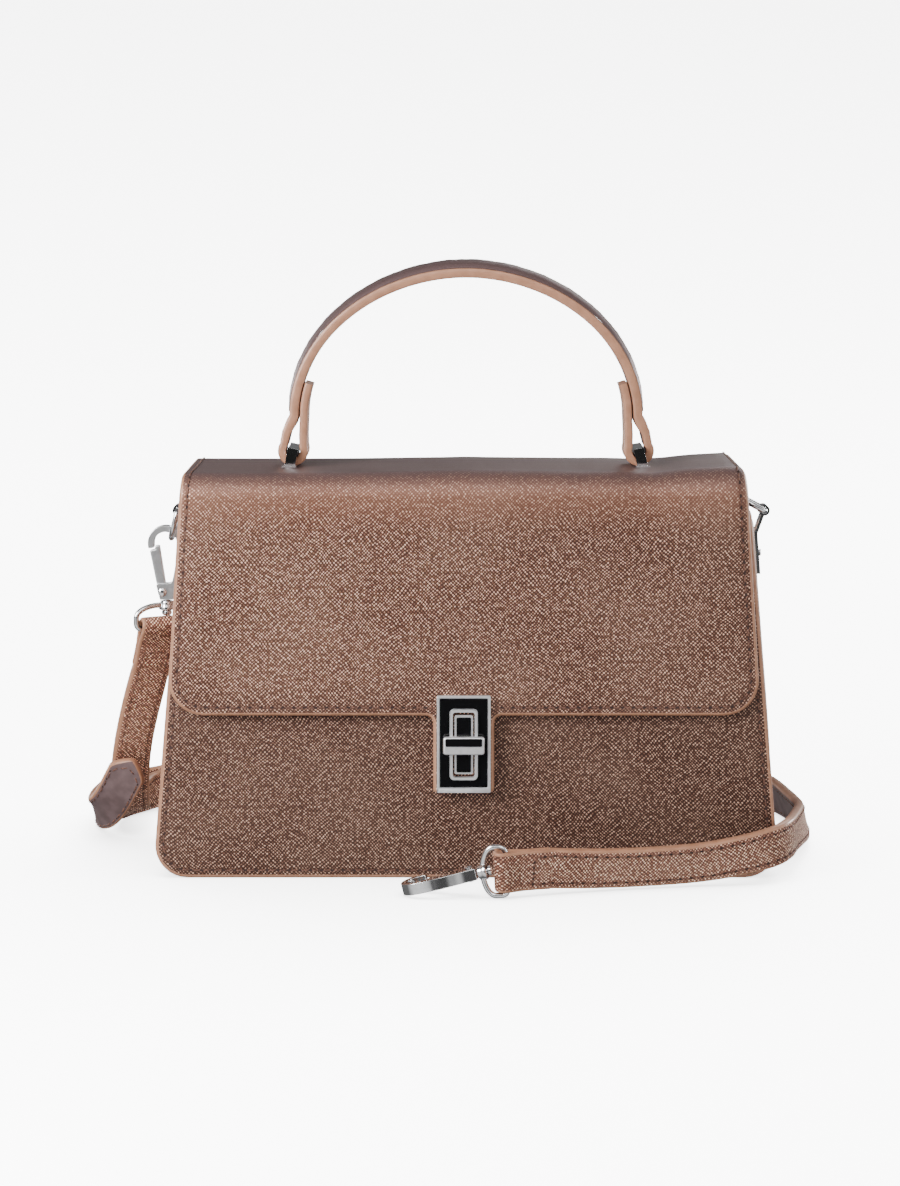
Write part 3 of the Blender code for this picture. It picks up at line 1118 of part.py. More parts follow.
def make_buckle():
    x, y, z = BUCKLE_EYE
    half = BUCKLE_HALF_HEIGHT
    shape = [(0, -half, 0.0015), (BUCKLE_LENGTH, -half, 0.003)]
    shape += [(BUCKLE_LENGTH, half, 0.003), (0, half, 0.0015)]
    points = [(x + a, y, z + b) for a, b in rounded(shape, 3)]
    wire("buckle_frame", points, BUCKLE_WIRE, CHROME, BUCKLE_EYE, closed=True)

    bore = BUCKLE_WIRE + GAP
    root = bore + 0.0009
    half = PRONG_THICKNESS / 2
    rest = BUCKLE_WIRE + GAP
    turns = np.radians(np.linspace(75, 375, 13))
    shape = [(root * math.cos(turn), root * math.sin(turn)) for turn in turns]
    shape += [(0.004, root - 0.0003), (BUCKLE_LENGTH - 0.003, rest + 0.0004), (BUCKLE_LENGTH, rest)]
    shape += [(PRONG_TIP, rest - 0.0004), (PRONG_TIP, rest + 0.0010), (BUCKLE_LENGTH, rest + 0.0018)]
    shape += [(BUCKLE_LENGTH - 0.003, rest + 0.0021), (0.004, root + 0.0014)]
    prong = prism(shape, -half, half, lambda a, depth, b: (x + a, y + b, z + depth))
    prong = piece("buckle_prong", prong, CHROME, BUCKLE_EYE)
    hole = cylinder((x, y, z - 0.004), (x, y, z + 0.004), bore, 14)
    cut(prong, tool(hole, "prong_bore_cutter"))

    middle = TAIL_JOINT
    near = SHORT_ROUTE[-2][0][1] - STRAP_THICKNESS / 2 - KEEPER_CLEARANCE
    far = TAIL_ROUTE[0][0][1] + STRAP_THICKNESS / 2 + KEEPER_CLEARANCE
    tall = STRAP_WIDTH / 2 + KEEPER_CLEARANCE
    low, high = z - 0.0002 - tall, z - 0.0002 + tall
    half, wall = KEEPER_WIDTH / 2, KEEPER_WALL
    keeper = box((middle - half, near - wall, low - wall), (middle + half, far + wall, high + wall))
    keeper = piece("strap_keeper", keeper, LEATHER)
    cut(keeper, tool(box((middle - 2 * half, near, low), (middle + 2 * half, far, high)), "keeper_cutter"))
    bevel(keeper, 0.0004, 1)


clear_scene()
LEATHER = material("bronze_grained_leather", (0.27, 0.15, 0.11), 0.42, 0.35)
LINING_LEATHER = material("lining_leather", (0.12, 0.085, 0.085), 0.55)
FABRIC = material("lining_fabric", (0.10, 0.075, 0.07), 0.85)
BOARD = material("stiffener_board", (0.32, 0.27, 0.21), 0.9)
CHROME = material("polished_chrome", (0.78, 0.78, 0.79), 0.12, 1.0)
STEEL = material("plain_steel", (0.45, 0.45, 0.46), 0.4, 1.0)
ENAMEL = material("black_enamel", (0.008, 0.008, 0.009), 0.12)
TOOL = material("cutting_guide", (0.8, 0.2, 0.2), 0.5)

make_panels()
GUSSETS = {side: make_gusset(name, side) for name, side in (("gusset_left", -1), ("gusset_right", 1))}
make_base()
make_lining()
make_flap()
make_lock()
make_handle()
make_handle_fixings()
for word, way in (("left", -1), ("right", 1)):
    made_lug = make_lug(f"side_lug_{word}", way)
    make_side_rivets(f"side_rivet_{word}", way, made_lug, GUSSETS[way])
LEFT_AIM = (-math.sin(math.radians(D_RING_LEFT_TILT)), -math.cos(math.radians(D_RING_LEFT_TILT)))
RIGHT_AIM = (math.cos(math.radians(D_RING_RIGHT_TILT)), math.sin(math.radians(D_RING_RIGHT_TILT)))
d_ring("d_ring_left", -1, LEFT_AIM)
d_ring("d_ring_right", 1, RIGHT_AIM)
make_hook("hook_left", HOOK_LEFT_PLACE, *LEFT_RING)
make_hook("hook_right", HOOK_RIGHT_PLACE, *FRONT_RING)
make_strap()
make_buckle()
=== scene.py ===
# Crossbody bag in bronze grained leather, on a pale studio floor. Metres, +Z up, the front faces -Y.
import math

import bmesh
import bpy
import numpy as np
from mathutils import Matrix, Vector


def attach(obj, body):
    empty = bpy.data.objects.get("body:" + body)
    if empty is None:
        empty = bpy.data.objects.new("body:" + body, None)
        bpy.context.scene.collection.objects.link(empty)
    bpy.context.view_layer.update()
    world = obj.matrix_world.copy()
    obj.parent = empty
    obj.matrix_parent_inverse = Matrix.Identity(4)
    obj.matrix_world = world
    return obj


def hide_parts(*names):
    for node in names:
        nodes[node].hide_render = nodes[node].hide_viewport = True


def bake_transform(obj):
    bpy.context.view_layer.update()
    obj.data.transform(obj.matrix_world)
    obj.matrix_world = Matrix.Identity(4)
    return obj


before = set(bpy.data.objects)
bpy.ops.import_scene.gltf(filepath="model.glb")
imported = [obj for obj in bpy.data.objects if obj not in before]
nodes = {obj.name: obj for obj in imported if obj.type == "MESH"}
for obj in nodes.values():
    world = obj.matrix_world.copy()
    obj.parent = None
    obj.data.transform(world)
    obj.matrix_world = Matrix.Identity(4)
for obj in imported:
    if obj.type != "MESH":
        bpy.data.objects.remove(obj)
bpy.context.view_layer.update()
gap = 0.0003
print("frame loaded,", len(nodes), "pieces")


def added(name, data):
    made = bpy.data.objects.new(name, data)
    bpy.context.collection.objects.link(made)
    return made


# Camera
view = {
    "lens": 87.0,
    "sensor": 36,
    "place": (-0.0065, -1.172, 0.282),
    "pitch": 81.7,
    "clip": (0.05, 40.0),
}


def makeCamera():
    data = bpy.data.cameras.new("camera")
    data.lens, data.sensor_width = view["lens"], view["sensor"]
    data.clip_start, data.clip_end = view["clip"]
    made = added("camera", data)
    made.location = view["place"]
    made.rotation_euler = (math.radians(view["pitch"]), 0, 0)
    bpy.context.scene.camera = made


makeCamera()
print("camera placed")


# A socket that can stand in sums, so that shader maths reads as sums
class Link:
    def __init__(self, tree, socket=None):
        self.tree, self.socket = tree, socket

    def put(self, socket, value):
        if isinstance(value, Link):
            self.tree.links.new(value.socket, socket)
        else:
            socket.default_value = value

    def node(self, kind, settings=None, inputs=None, output=0):
        made = self.tree.nodes.new("ShaderNode" + kind)
        for name, value in (settings or {}).items():
            setattr(made, name, value)
        for name, value in (inputs or {}).items():
            self.put(made.inputs[name], value)
        return Link(self.tree, made.outputs[output])

    def sum(self, operation, first, second=0.0):
        return self.node("Math", {"operation": operation}, {0: first, 1: second})

    def __add__(self, other):
        return self.sum("ADD", self, other)

    def __sub__(self, other):
        return self.sum("SUBTRACT", self, other)

    def __rsub__(self, other):
        return self.sum("SUBTRACT", other, self)

    def __mul__(self, other):
        return self.sum("MULTIPLY", self, other)

    def __abs__(self):
        return self.sum("ABSOLUTE", self)

    __radd__, __rmul__ = __add__, __mul__

    def wave(self):
        return self.sum("SINE", self) * 0.5 + 0.5

    def between(self, low, high):
        return self.node("MapRange", {"interpolation_type": "SMOOTHSTEP"}, {0: self, 1: low, 2: high})

    def noise(self, place, scale, detail=2.0, output=0):
        return self.node("TexNoise", None, {"Vector": place, "Scale": scale, "Detail": detail}, output)

    def tint(self, factor, first, second):
        return self.node("Mix", {"data_type": "RGBA"}, {0: factor, 6: first, 7: second}, 2)

    # The place on the leather in millimetres
    def flatMm(self):
        flat = self.node("UVMap", {"uv_map": "UVMap"})
        return self.node("VectorMath", {"operation": "SCALE"}, {0: flat, "Scale": 1000.0})

    def push(self, vector, reach, place):
        return self.node("VectorMath", {"operation": "MULTIPLY_ADD"}, {0: vector, 1: (reach,) * 3, 2: place})

    def split(self):
        first = self.node("SeparateXYZ", None, {0: self})
        return first, Link(self.tree, first.socket.node.outputs[1])

    def bump(self, surface, height, strength, distance=0.001):
        made = self.node("Bump", None, {"Strength": strength, "Distance": distance, "Height": height})
        self.put(surface["Normal"], made)


def shade(colour, factor):
    return tuple(c * factor for c in colour[:3]) + (1.0,)


def newMaterial(name, colour, roughness, metallic=0.0, **fixed):
    made = bpy.data.materials.new(name)
    made.use_nodes = True
    made.diffuse_color = colour
    tree = made.node_tree
    surface = tree.nodes["Principled BSDF"].inputs
    surface["Base Color"].default_value = colour
    surface["Roughness"].default_value = roughness
    surface["Metallic"].default_value = metallic
    for label, value in fixed.items():
        surface[label.replace("_", " ")].default_value = value
    return made, Link(tree), surface


# Materials
grain = {"pitch": 1.02, "wander": 2.8, "patch": 0.10, "jitter": 0.42, "depth": 0.20, "paintedTopShade": 0.97}
tones = {
    "dark": (0.050, 0.018, 0.012, 1),
    "mid": (0.215, 0.094, 0.060, 1),
    "light": (1.0, 0.64, 0.47, 1),
    "paint": (0.42, 0.205, 0.122, 1),
    "paintDark": (0.35, 0.165, 0.095, 1),
    "facing": (0.185, 0.124, 0.125, 1),
    "facingDark": (0.130, 0.085, 0.084, 1),
    "cloth": (0.115, 0.088, 0.080, 1),
    "thread": (0.225, 0.105, 0.070, 1),
    "hole": (0.030, 0.011, 0.008, 1),
    "chrome": (0.86, 0.86, 0.87, 1),
    "steel": (0.42, 0.42, 0.43, 1),
    "enamel": (0.003, 0.003, 0.0035, 1),
    "board": (0.30, 0.25, 0.18, 1),
}


# Cross-hatched grain: dashes on two slants, here one stronger and there the other, and a dip along
# the stitches. calm gives the millimetres over which a smoother part, darkened as painted shade, passes into
# the grain
# deep scales all the tones, so that lighter and darker copies of this leather paint in light and shade
def grainedLeather(name, stitchAt, deep=1.0, metallic=0.45, calm=None):
    dark, mid, light = (shade(tones[key], deep) for key in ("dark", "mid", "light"))
    fixed = {"Specular_IOR_Level": 0.3, "Coat_Weight": 0.06, "Coat_Roughness": 0.35}
    made, start, surface = newMaterial(name, mid, 0.42, metallic, **fixed)
    mm = start.flatMm()
    pushed = start.push(start.noise(mm, grain["patch"], 1.0, 1), grain["wander"], mm)
    pushed = start.push(start.noise(mm, 0.75, 1.0, 1), grain["jitter"], pushed)
    along, other = pushed.split()
    rate = 2 * math.pi / (math.sqrt(2) * grain["pitch"])
    rise = ((along + other) * rate).wave()
    fall = ((along - other) * (rate * 0.94)).wave()
    patch = start.noise(mm, 0.13, 2.0).between(0.44, 0.56)
    hatch = rise * (fall * 0.80 + 0.20) * patch + fall * (rise * 0.80 + 0.20) * (1 - patch)
    uneven = start.noise(mm, 0.70, 1.0).between(0.34, 0.66)
    height = hatch * (uneven * 0.6 + 0.4)
    if calm:
        still = 0.65 - other.between(*calm) * 0.65
        height = height * (1 - still) + still * 0.37
    cloud = start.noise(mm, 0.018, 3.0).between(0.30, 0.72)
    rim = start.node("Attribute", {"attribute_name": "rim"}, None, 2) * 1000.0
    dip = 1 - abs(rim - stitchAt).between(0.10, 1.1)
    body = start.tint(height.between(0.10, 0.34), dark, mid)
    # Painted highlight: glints on the ridge tops tint the base colour towards the light tone, and make those
    # spots less rough
    glint = height.between(0.28, 0.60) * (uneven * 0.75 + 0.25) * (1 - dip * 0.75)
    glintHighlight = start.tint(glint * 0.95, body, light)
    mottleAndTopShade = start.tint(cloud * 0.05, glintHighlight, light)
    # Painted shade: up to calm's start the colour goes towards facingDark, so the flap's top and the whole
    # handle cover are darker
    if calm:
        topShadeShare = grain["paintedTopShade"]
        mottleAndTopShade = start.tint(topShadeShare - other.between(calm[0] - 12, calm[0] + 4) * topShadeShare, mottleAndTopShade, tones["facingDark"])
    start.put(surface["Base Color"], mottleAndTopShade)
    start.put(surface["Roughness"], 0.46 - glint * 0.16 + cloud * 0.04)
    relief = height * grain["depth"] - dip * 0.13 + cloud * 0.10
    start.bump(surface, relief, 0.9)
    return made


def speckled(name, first, second, size, roughness, metallic=0.0, depth=0.03, **fixed):
    made, start, surface = newMaterial(name, first, roughness, metallic, **fixed)
    place = start.node("TexCoord", None, None, 3)
    mottle = start.noise(place, 1 / size, 4.0)
    start.put(surface["Base Color"], start.tint(mottle.between(0.32, 0.68), first, second))
    start.put(surface["Roughness"], mottle * 0.12 + (roughness - 0.06))
    start.bump(surface, mottle * depth, 0.6)
    return made


def wovenCloth(name, colour):
    made, start, surface = newMaterial(name, colour, 0.85)
    mm = start.flatMm()
    along, other = mm.split()
    threads = 9.0  # radians for each millimetre
    weave = (along * threads).wave() * (other * threads).wave()
    cloud = start.noise(mm, 0.05, 3.0)
    start.put(surface["Base Color"], start.tint(weave * 0.5 + cloud * 0.4, shade(colour, 0.6), colour))
    start.bump(surface, weave * 0.12 + cloud * 0.8, 0.7)
    return made


# Fine polishing lines and faint smears, so that the metal isn't a perfect mirror
def polished(name, colour, roughness, smear, metallic=1.0):
    made, start, surface = newMaterial(name, colour, roughness, metallic)
    place = start.node("TexCoord", None, None, 3)
    cloud = start.noise(place, 260.0, 3.0)
    fine = start.noise(place, 2600.0, 2.0)
    start.put(surface["Roughness"], cloud * smear + roughness)
    start.put(surface["Base Color"], start.tint(cloud.between(0.42, 0.70), colour, shade(colour, 0.86)))
    start.bump(surface, fine * 0.25 + cloud * 0.5, 0.06, 0.0001)
    return made


# Copies of one leather: painted shade on the body panels (deep 0.68), the flap and the handle cover, painted
# light on the shoulder strap pieces (1.9, 2.4)
bronze = grainedLeather("bronzeLeather", 3.4)
bronzeFlap = grainedLeather("bronzeFlapLeather", 3.4, deep=0.95, calm=(78.0, 104.0))
bronzeBodyShaded = grainedLeather("bronzeBodyLeather", 3.4, deep=0.68)
bronzeStrapLit = grainedLeather("bronzeStrapLeather", 2.4, deep=1.9)
bronzeShortLit = grainedLeather("bronzeShortLeather", 2.4, deep=2.4, metallic=0.25)
bronzePadShaded = grainedLeather("bronzePadLeather", 2.4, deep=0.9, calm=(100.0, 200.0))
paint = speckled(
    "paintedEdge",
    tones["paint"],
    tones["paintDark"],
    size=0.004,
    roughness=0.42,
    metallic=0.05,
    depth=0.10,
    Coat_Weight=0.15,
)
facing = speckled(
    "smoothFacing", tones["facing"], tones["facingDark"], 0.006, 0.40, metallic=0.25, depth=0.05
)
cloth = wovenCloth("liningCloth", tones["cloth"])
thread = speckled("thread", tones["thread"], tones["dark"], 0.0006, 0.62, metallic=0.1, depth=0.05)
# Needle holes are near-black: painted shade for the hollow of each hole
hole = speckled("needleHole", tones["hole"], tones["hole"], 0.001, 0.8)
chrome = polished("polishedChrome", tones["chrome"], 0.05, 0.07)
steel = polished("plainSteel", tones["steel"], 0.30, 0.12)
enamel = polished("blackEnamel", tones["enamel"], 0.06, 0.05, metallic=0.0)
satin = polished("satinChrome", tones["chrome"], 0.40, 0.05)
brushed = polished("brushedChrome", tones["chrome"], 0.28, 0.02)
board = speckled("stiffenerBoard", tones["board"], tones["cloth"], 0.003, 0.9)
leatherSet = [bronze, paint, facing, thread, hole]
bodySet = [bronzeBodyShaded, paint, facing, thread, hole]
print("materials made")


# Shape helpers
def clamp(value):
    return min(1.0, max(0.0, value))


def turns(count):
    return np.linspace(0, 2 * math.pi, count, endpoint=False)


def arc(radius, first, last, count, centre=(0.0, 0.0)):
    angles = np.linspace(first, last, count)
    return [(centre[0] + radius * math.cos(t), centre[1] + radius * math.sin(t)) for t in angles]


# Tells the frame which body a piece rides on and which CAD piece it stands for
def declare(made, body=None, node=None):
    if body:
        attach(made, body)
    if node:
        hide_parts(node)
    return made


def turnOutward(mesh):
    bm = bmesh.new()
    bm.from_mesh(mesh)
    bmesh.ops.recalc_face_normals(bm, faces=bm.faces)
    bm.to_mesh(mesh)
    bm.free()


def bareObject(name, points, faces, material):
    mesh = bpy.data.meshes.new(name)
    mesh.from_pydata(points, [], faces)
    mesh.materials.append(material)
    return added(name, mesh)


# Collects points and faces with their flat coordinates, then makes one object of them
class Skin:
    def __init__(self):
        self.points, self.flat, self.rim, self.faces, self.slots = [], [], [], [], []

    def point(self, place, flat=(0.0, 0.0), rim=0.02):
        self.points.append(tuple(place))
        self.flat.append(flat)
        self.rim.append(rim)
        return len(self.points) - 1

    def face(self, corners, slot=0):
        self.faces.append(tuple(corners))
        self.slots.append(slot)

    # Rings of points about an upright axis, one for each (radius, height)
    def rings(self, profile, count, place):
        made = []
        for radius, height in profile:
            circle = [(radius * math.cos(t), radius * math.sin(t)) for t in turns(count)]
            made.append([self.point(place(a, b, height)) for a, b in circle])
        return made

    # Quads between rows of point numbers; slotOf gives the slot of each column
    def rows(self, rows, closed=True, slotOf=lambda column: 0, ends=None):
        for low, high in zip(rows, rows[1:]):
            count = len(low)
            for here in range(count if closed else count - 1):
                on = (here + 1) % count
                self.face((low[here], low[on], high[on], high[here]), slotOf(here))
        if ends is not None:
            self.face(rows[0], ends)
            self.face(reversed(rows[-1]), ends)

    def piece(self, name, body, materials, node=None, slot="bronze_grained_leather", crease=38):
        mesh = bpy.data.meshes.new(name)
        mesh.from_pydata(self.points, [], self.faces)
        for material in materials:
            mesh.materials.append(material)
        mesh.polygons.foreach_set("material_index", self.slots)
        layer = mesh.uv_layers.new(name="UVMap")
        corners = np.empty(len(mesh.loops), np.int32)
        mesh.loops.foreach_get("vertex_index", corners)
        layer.data.foreach_set("uv", np.array(self.flat, np.float32)[corners].ravel())
        rim = mesh.attributes.new("rim", "FLOAT", "POINT")
        rim.data.foreach_set("value", np.array(self.rim, np.float32))
        turnOutward(mesh)
        mesh.shade_smooth()
        mesh.set_sharp_from_angle(angle=math.radians(crease))
        return declare(added(name, mesh), body, node)


# Rounds the corners (a, b, radius) of an outline
def rounded(corners, steps=8):
    outline = []
    for index, (a, b, radius) in enumerate(corners):
        here = Vector((a, b))
        back = (Vector(corners[index - 1][:2]) - here).normalized()
        on = (Vector(corners[(index + 1) % len(corners)][:2]) - here).normalized()
        if radius <= 0:
            outline.append(here)
            continue
        half = back.angle(on) / 2
        centre = here + (back + on).normalized() * radius / math.sin(half)
        first = here + back * radius / math.tan(half) - centre
        last = here + on * radius / math.tan(half) - centre
        for step in range(steps + 1):
            outline.append(centre + first.slerp(last, step / steps).normalized() * radius)
    return [(point.x, point.y) for point in outline]


def rectangle(width, length, radius, centre=(0.0, 0.0), steps=5):
    a, b = width / 2, length / 2
    signs = ((-1, -1), (1, -1), (1, 1), (-1, 1))
    return rounded([(centre[0] + sa * a, centre[1] + sb * b, radius) for sa, sb in signs], steps)


# The outline drawn inwards by a distance
def inset(outline, distance):
    points = np.array(outline)
    ahead = np.roll(points, -1, axis=0) - points
    ahead /= np.linalg.norm(ahead, axis=1)[:, None]
    normal = np.stack([-ahead[:, 1], ahead[:, 0]], axis=1)
    area = np.sum(points[:, 0] * np.roll(points[:, 1], -1) - np.roll(points[:, 0], -1) * points[:, 1])
    normal *= np.sign(area)
    before = np.roll(normal, 1, axis=0)
    share = 1 + np.sum(normal * before, axis=1)
    return points + (normal + before) / share[:, None] * distance


def distanceTo(points, outline):
    start = np.array(outline)
    span = np.roll(start, -1, axis=0) - start
    best = np.full(len(points), 1.0)
    for origin, reach in zip(start, span):
        share = np.clip(((points - origin) @ reach) / (reach @ reach + 1e-18), 0, 1)
        best = np.minimum(best, np.linalg.norm(points - origin - share[:, None] * reach, axis=1))
    return best


def bisect(bm, point, normal, near):
    parts = bm.verts[:] + bm.edges[:] + bm.faces[:]
    bmesh.ops.bisect_plane(bm, geom=parts, plane_co=point, plane_no=normal, dist=near)


# A leather layer cut to an outline, with a half-round painted edge. place(a, b, depth, rim) gives the world
# point, and rim is the distance from the outline. Its faces end at every cell and at the extra heights
def leatherSheet(outline, place, thick, edge, cell, extra=()):
    bm = bmesh.new()
    steps = [edge * (1 - math.cos(turn)) for turn in np.linspace(0, math.pi / 2, 5)]
    rings = [[bm.verts.new((a, b, step)) for a, b in inset(outline, step)] for step in steps]
    for low, high in zip(rings, rings[1:]):
        for here in range(len(low)):
            on = (here + 1) % len(low)
            bm.faces.new((low[here], low[on], high[on], high[here]))
    bm.faces.new(rings[-1])
    corners = np.array(outline)
    for axis in (1, 0):
        low, high = corners[:, axis].min() + cell / 2, corners[:, axis].max()
        normal = (0, 1, 0) if axis else (1, 0, 0)
        for at in [*np.arange(low, high, cell), *(extra if axis else ())]:
            bisect(bm, [at * n for n in normal], normal, 1e-5)
    bm.verts.index_update()
    flat = np.array([(v.co.x, v.co.y) for v in bm.verts])
    depths = np.array([v.co.z for v in bm.verts])
    rims = np.where(depths < edge - 1e-6, depths, distanceTo(flat, outline))
    skin = Skin()
    front, back = [], []
    for (a, b), depth, rim in zip(flat, depths, rims):
        inner = depth > edge - 1e-6
        swell = thick / 2 if inner else thick / 2 * math.sqrt(max(0.0, 1 - (1 - depth / edge) ** 2))
        front.append(skin.point(place(a, b, thick / 2 - swell, rim), (a, b), rim))
        joined = depth < 1e-7
        back.append(front[-1] if joined else skin.point(place(a, b, thick / 2 + swell, rim), (a, b), rim))
    for face in bm.faces:
        index = [v.index for v in face.verts]
        inner = min(depths[i] for i in index) > edge - 1e-6
        skin.face([front[i] for i in index], 0 if inner else 1)
        skin.face([back[i] for i in reversed(index)], 2 if inner else 1)
    bm.free()
    return skin


# Equal steps along a line of (a, b) points
def evenly(line, pitch):
    line = np.array(line)
    along = np.concatenate([[0], np.cumsum(np.linalg.norm(np.diff(line, axis=0), axis=1))])
    count = max(2, round(along[-1] / pitch))
    at = np.linspace(0, along[-1], count + 1)
    return np.stack([np.interp(at, along, line[:, k]) for k in (0, 1)], axis=1)


stitch = {"pitch": 0.0044, "thread": 0.00030, "rise": 0.00022, "slant": 0.00022, "hole": (0.00085, 0.00048)}


# Sewn line: place(a, b, height) gives the world point that high over the leather
def sew(skin, line, place, pitch=stitch["pitch"]):
    points = evenly(line, pitch)
    threadSlot, holeSlot = 3, 4
    long, wide = stitch["hole"]

    def around(centre, ahead, up, thin):
        side = ahead.cross(up).normalized()
        return [skin.point(centre + side * thin * math.cos(t) + up * thin * math.sin(t)) for t in turns(6)]

    for first, last in zip(points, points[1:]):
        step = last - first
        side = np.array([-step[1], step[0]]) / np.linalg.norm(step)
        rows = []
        ahead = (Vector(place(*last, 0)) - Vector(place(*first, 0))).normalized()
        for share, height in ((0.15, -0.9), (0.24, 0.35), (0.5, 1.0), (0.76, 0.35), (0.85, -0.9)):
            a, b = first + step * share + side * stitch["slant"] * (share - 0.5) * 2
            centre = Vector(place(a, b, height * stitch["rise"]))
            up = (Vector(place(a, b, 0.001)) - Vector(place(a, b, 0))).normalized()
            thin = stitch["thread"] * (0.7 if height < 0 else 1.0)
            rows.append(around(centre, ahead, up, thin))
        skin.rows(rows, True, lambda column: threadSlot, threadSlot)
    # Each needle hole is a dark disc just over the leather with a shallow cone below it, painted shade for
    # the hole
    for first, last in zip(points, points[1:]):
        here = Vector(place(*first, 0))
        ahead = (Vector(place(*(first + (last - first) * 0.2), 0)) - here).normalized()
        up = (Vector(place(*first, 0.001)) - here).normalized()
        side = ahead.cross(up)
        top = Vector(place(*first, 0.00004))
        ring = [skin.point(top + ahead * long * math.cos(t) + side * wide * math.sin(t)) for t in turns(8)]
        tip = skin.point(top - up * 0.0003)
        lid = skin.point(top + up * 0.00002)
        for here in range(8):
            on = (here + 1) % 8
            skin.face((ring[here], ring[on], lid), holeSlot)
            skin.face((ring[on], ring[here], tip), holeSlot)


# A smooth curve through the rows of a route
def smoothCurve(route, step):
    route = np.array(route, float)
    ends = np.vstack([2 * route[0] - route[1], route, 2 * route[-1] - route[-2]])
    made = []

    def between(first, last, start, end, at):
        return first + (last - first) * (at - start) / (end - start)

    for index in range(1, len(ends) - 2):
        p0, p1, p2, p3 = ends[index - 1 : index + 3]
        spans = [np.linalg.norm((b - a)[:3]) ** 0.5 for a, b in ((p0, p1), (p1, p2), (p2, p3))]
        k = np.cumsum([0.0] + spans)
        count = max(2, round(float(np.linalg.norm((p2 - p1)[:3])) / step))
        last = index == len(ends) - 3
        for t in np.linspace(k[1], k[2], count, endpoint=False).tolist() + [k[2]] * last:
            pairs = enumerate(((p0, p1), (p1, p2), (p2, p3)))
            a1, a2, a3 = (between(*pair, k[i], k[i + 1], t) for i, pair in pairs)
            b1 = between(a1, a2, k[0], k[2], t)
            b2 = between(a2, a3, k[1], k[3], t)
            made.append(between(b1, b2, k[1], k[2], t))
    return np.array(made)


# A flat strip of leather along its stations (centre, across, thickness, share of the width)
class Ribbon:
    def __init__(self, stations, width, edge=0.0011):
        self.width, self.edge = width, edge
        self.centre = np.array([tuple(s[0]) for s in stations])
        self.thick = np.array([s[2] for s in stations])
        self.share = np.array([s[3] if len(s) > 3 else 1.0 for s in stations])
        steps = np.linalg.norm(np.diff(self.centre, axis=0), axis=1)
        self.along = np.concatenate([[0], np.cumsum(steps)])
        across, up = [], []
        last = len(stations) - 1
        for index, station in enumerate(stations):
            ahead = Vector(self.centre[min(index + 1, last)] - self.centre[max(index - 1, 0)]).normalized()
            wide = Vector(station[1]) - ahead * Vector(station[1]).dot(ahead)
            wide.normalize()
            across.append(wide)
            up.append(ahead.cross(wide).normalized())
        self.across, self.up = np.array(across), np.array(up)

    def at(self, u, v, height, face):
        def mix(part):
            return np.array([np.interp(u, self.along, part[:, k]) for k in range(3)])

        thick = np.interp(u, self.along, self.thick)
        return Vector(mix(self.centre) + mix(self.across) * v + mix(self.up) * face * (thick / 2 + height))

    # The strip with rounded edges and a slight crown
    def skin(self, columns=8, crown=0.00012, slots=(0, 1, 2)):
        skin = Skin()
        rows = []
        for index, centre in enumerate(self.centre):
            half = self.width / 2 * self.share[index]
            thin = self.thick[index] / 2
            edge = min(self.edge, half * 0.8)
            across = np.linspace(-1, 1, columns + 1) * (half - edge)
            row = []

            def add(v, height):
                place = centre + self.across[index] * v + self.up[index] * height
                row.append(skin.point(place, (self.along[index], v), half - abs(v)))

            def addEdge(way):
                for turn in (65, 45, 22, 0, -22, -45, -65):
                    swell = math.cos(math.radians(turn)) ** 0.75
                    add(way * (half - edge + edge * swell), way * thin * math.sin(math.radians(turn)))

            for v in across:
                add(v, thin + crown * (1 - (v / half) ** 2))
            addEdge(1)
            for v in reversed(across):
                add(v, -thin)
            addEdge(-1)
            rows.append(row)

        def slotOf(column):
            if column < columns:
                return slots[0]
            if columns + 8 <= column < 2 * columns + 8:
                return slots[2]
            return slots[1]

        skin.rows(rows, True, slotOf, slots[1])
        return skin


# Closed loop of round wire
def wire(name, points, radius, body, node, steps=5):
    data = bpy.data.curves.new(name, "CURVE")
    data.dimensions = "3D"
    data.bevel_depth = radius
    data.bevel_resolution = steps
    data.use_fill_caps = True
    line = data.splines.new("POLY")
    line.points.add(len(points) - 1)
    for knot, place in zip(line.points, points):
        knot.co = (*place, 1)
    line.use_cyclic_u = True
    line.use_smooth = True
    data.materials.append(chrome)
    return declare(added(name, data), body, node)


def bevelled(made, width, segments=3, angle=32):
    bevel = made.modifiers.new("edges", "BEVEL")
    bevel.width = width
    bevel.segments = segments
    bevel.limit_method = "ANGLE"
    bevel.angle_limit = math.radians(angle)
    bevel.harden_normals = True


# The CAD piece's own shape with its faces merged and its edges broken, in place of the CAD piece.
# slant gives the height over its foot up to which the front leans, and how far the foot is moved
def refine(node, width, material, body, slot, segments=3, slant=None):
    mesh = nodes[node].data.copy()
    mesh.name = node + "Fine"
    mesh.materials.clear()
    mesh.materials.append(material)
    bm = bmesh.new()
    bm.from_mesh(mesh)
    bmesh.ops.remove_doubles(bm, verts=bm.verts, dist=1e-6)
    bmesh.ops.dissolve_limit(bm, angle_limit=math.radians(1.5), verts=bm.verts, edges=bm.edges)
    if slant:
        foot = min(v.co.z for v in bm.verts)
        bisect(bm, (0, 0, foot + slant[0]), (0, 0, 1), 1e-6)
        low = [v for v in bm.verts if v.co.z < foot + 0.0003]
        middle = sum(v.co.y for v in low) / len(low)
        for vertex in low:
            vertex.co.y += slant[1] * (vertex.co.y < middle)
    bm.to_mesh(mesh)
    bm.free()
    mesh.shade_smooth()
    mesh.set_sharp_from_angle(angle=math.radians(30))
    made = added(node + "Fine", mesh)
    bevelled(made, width, segments)
    return declare(made, body, node)


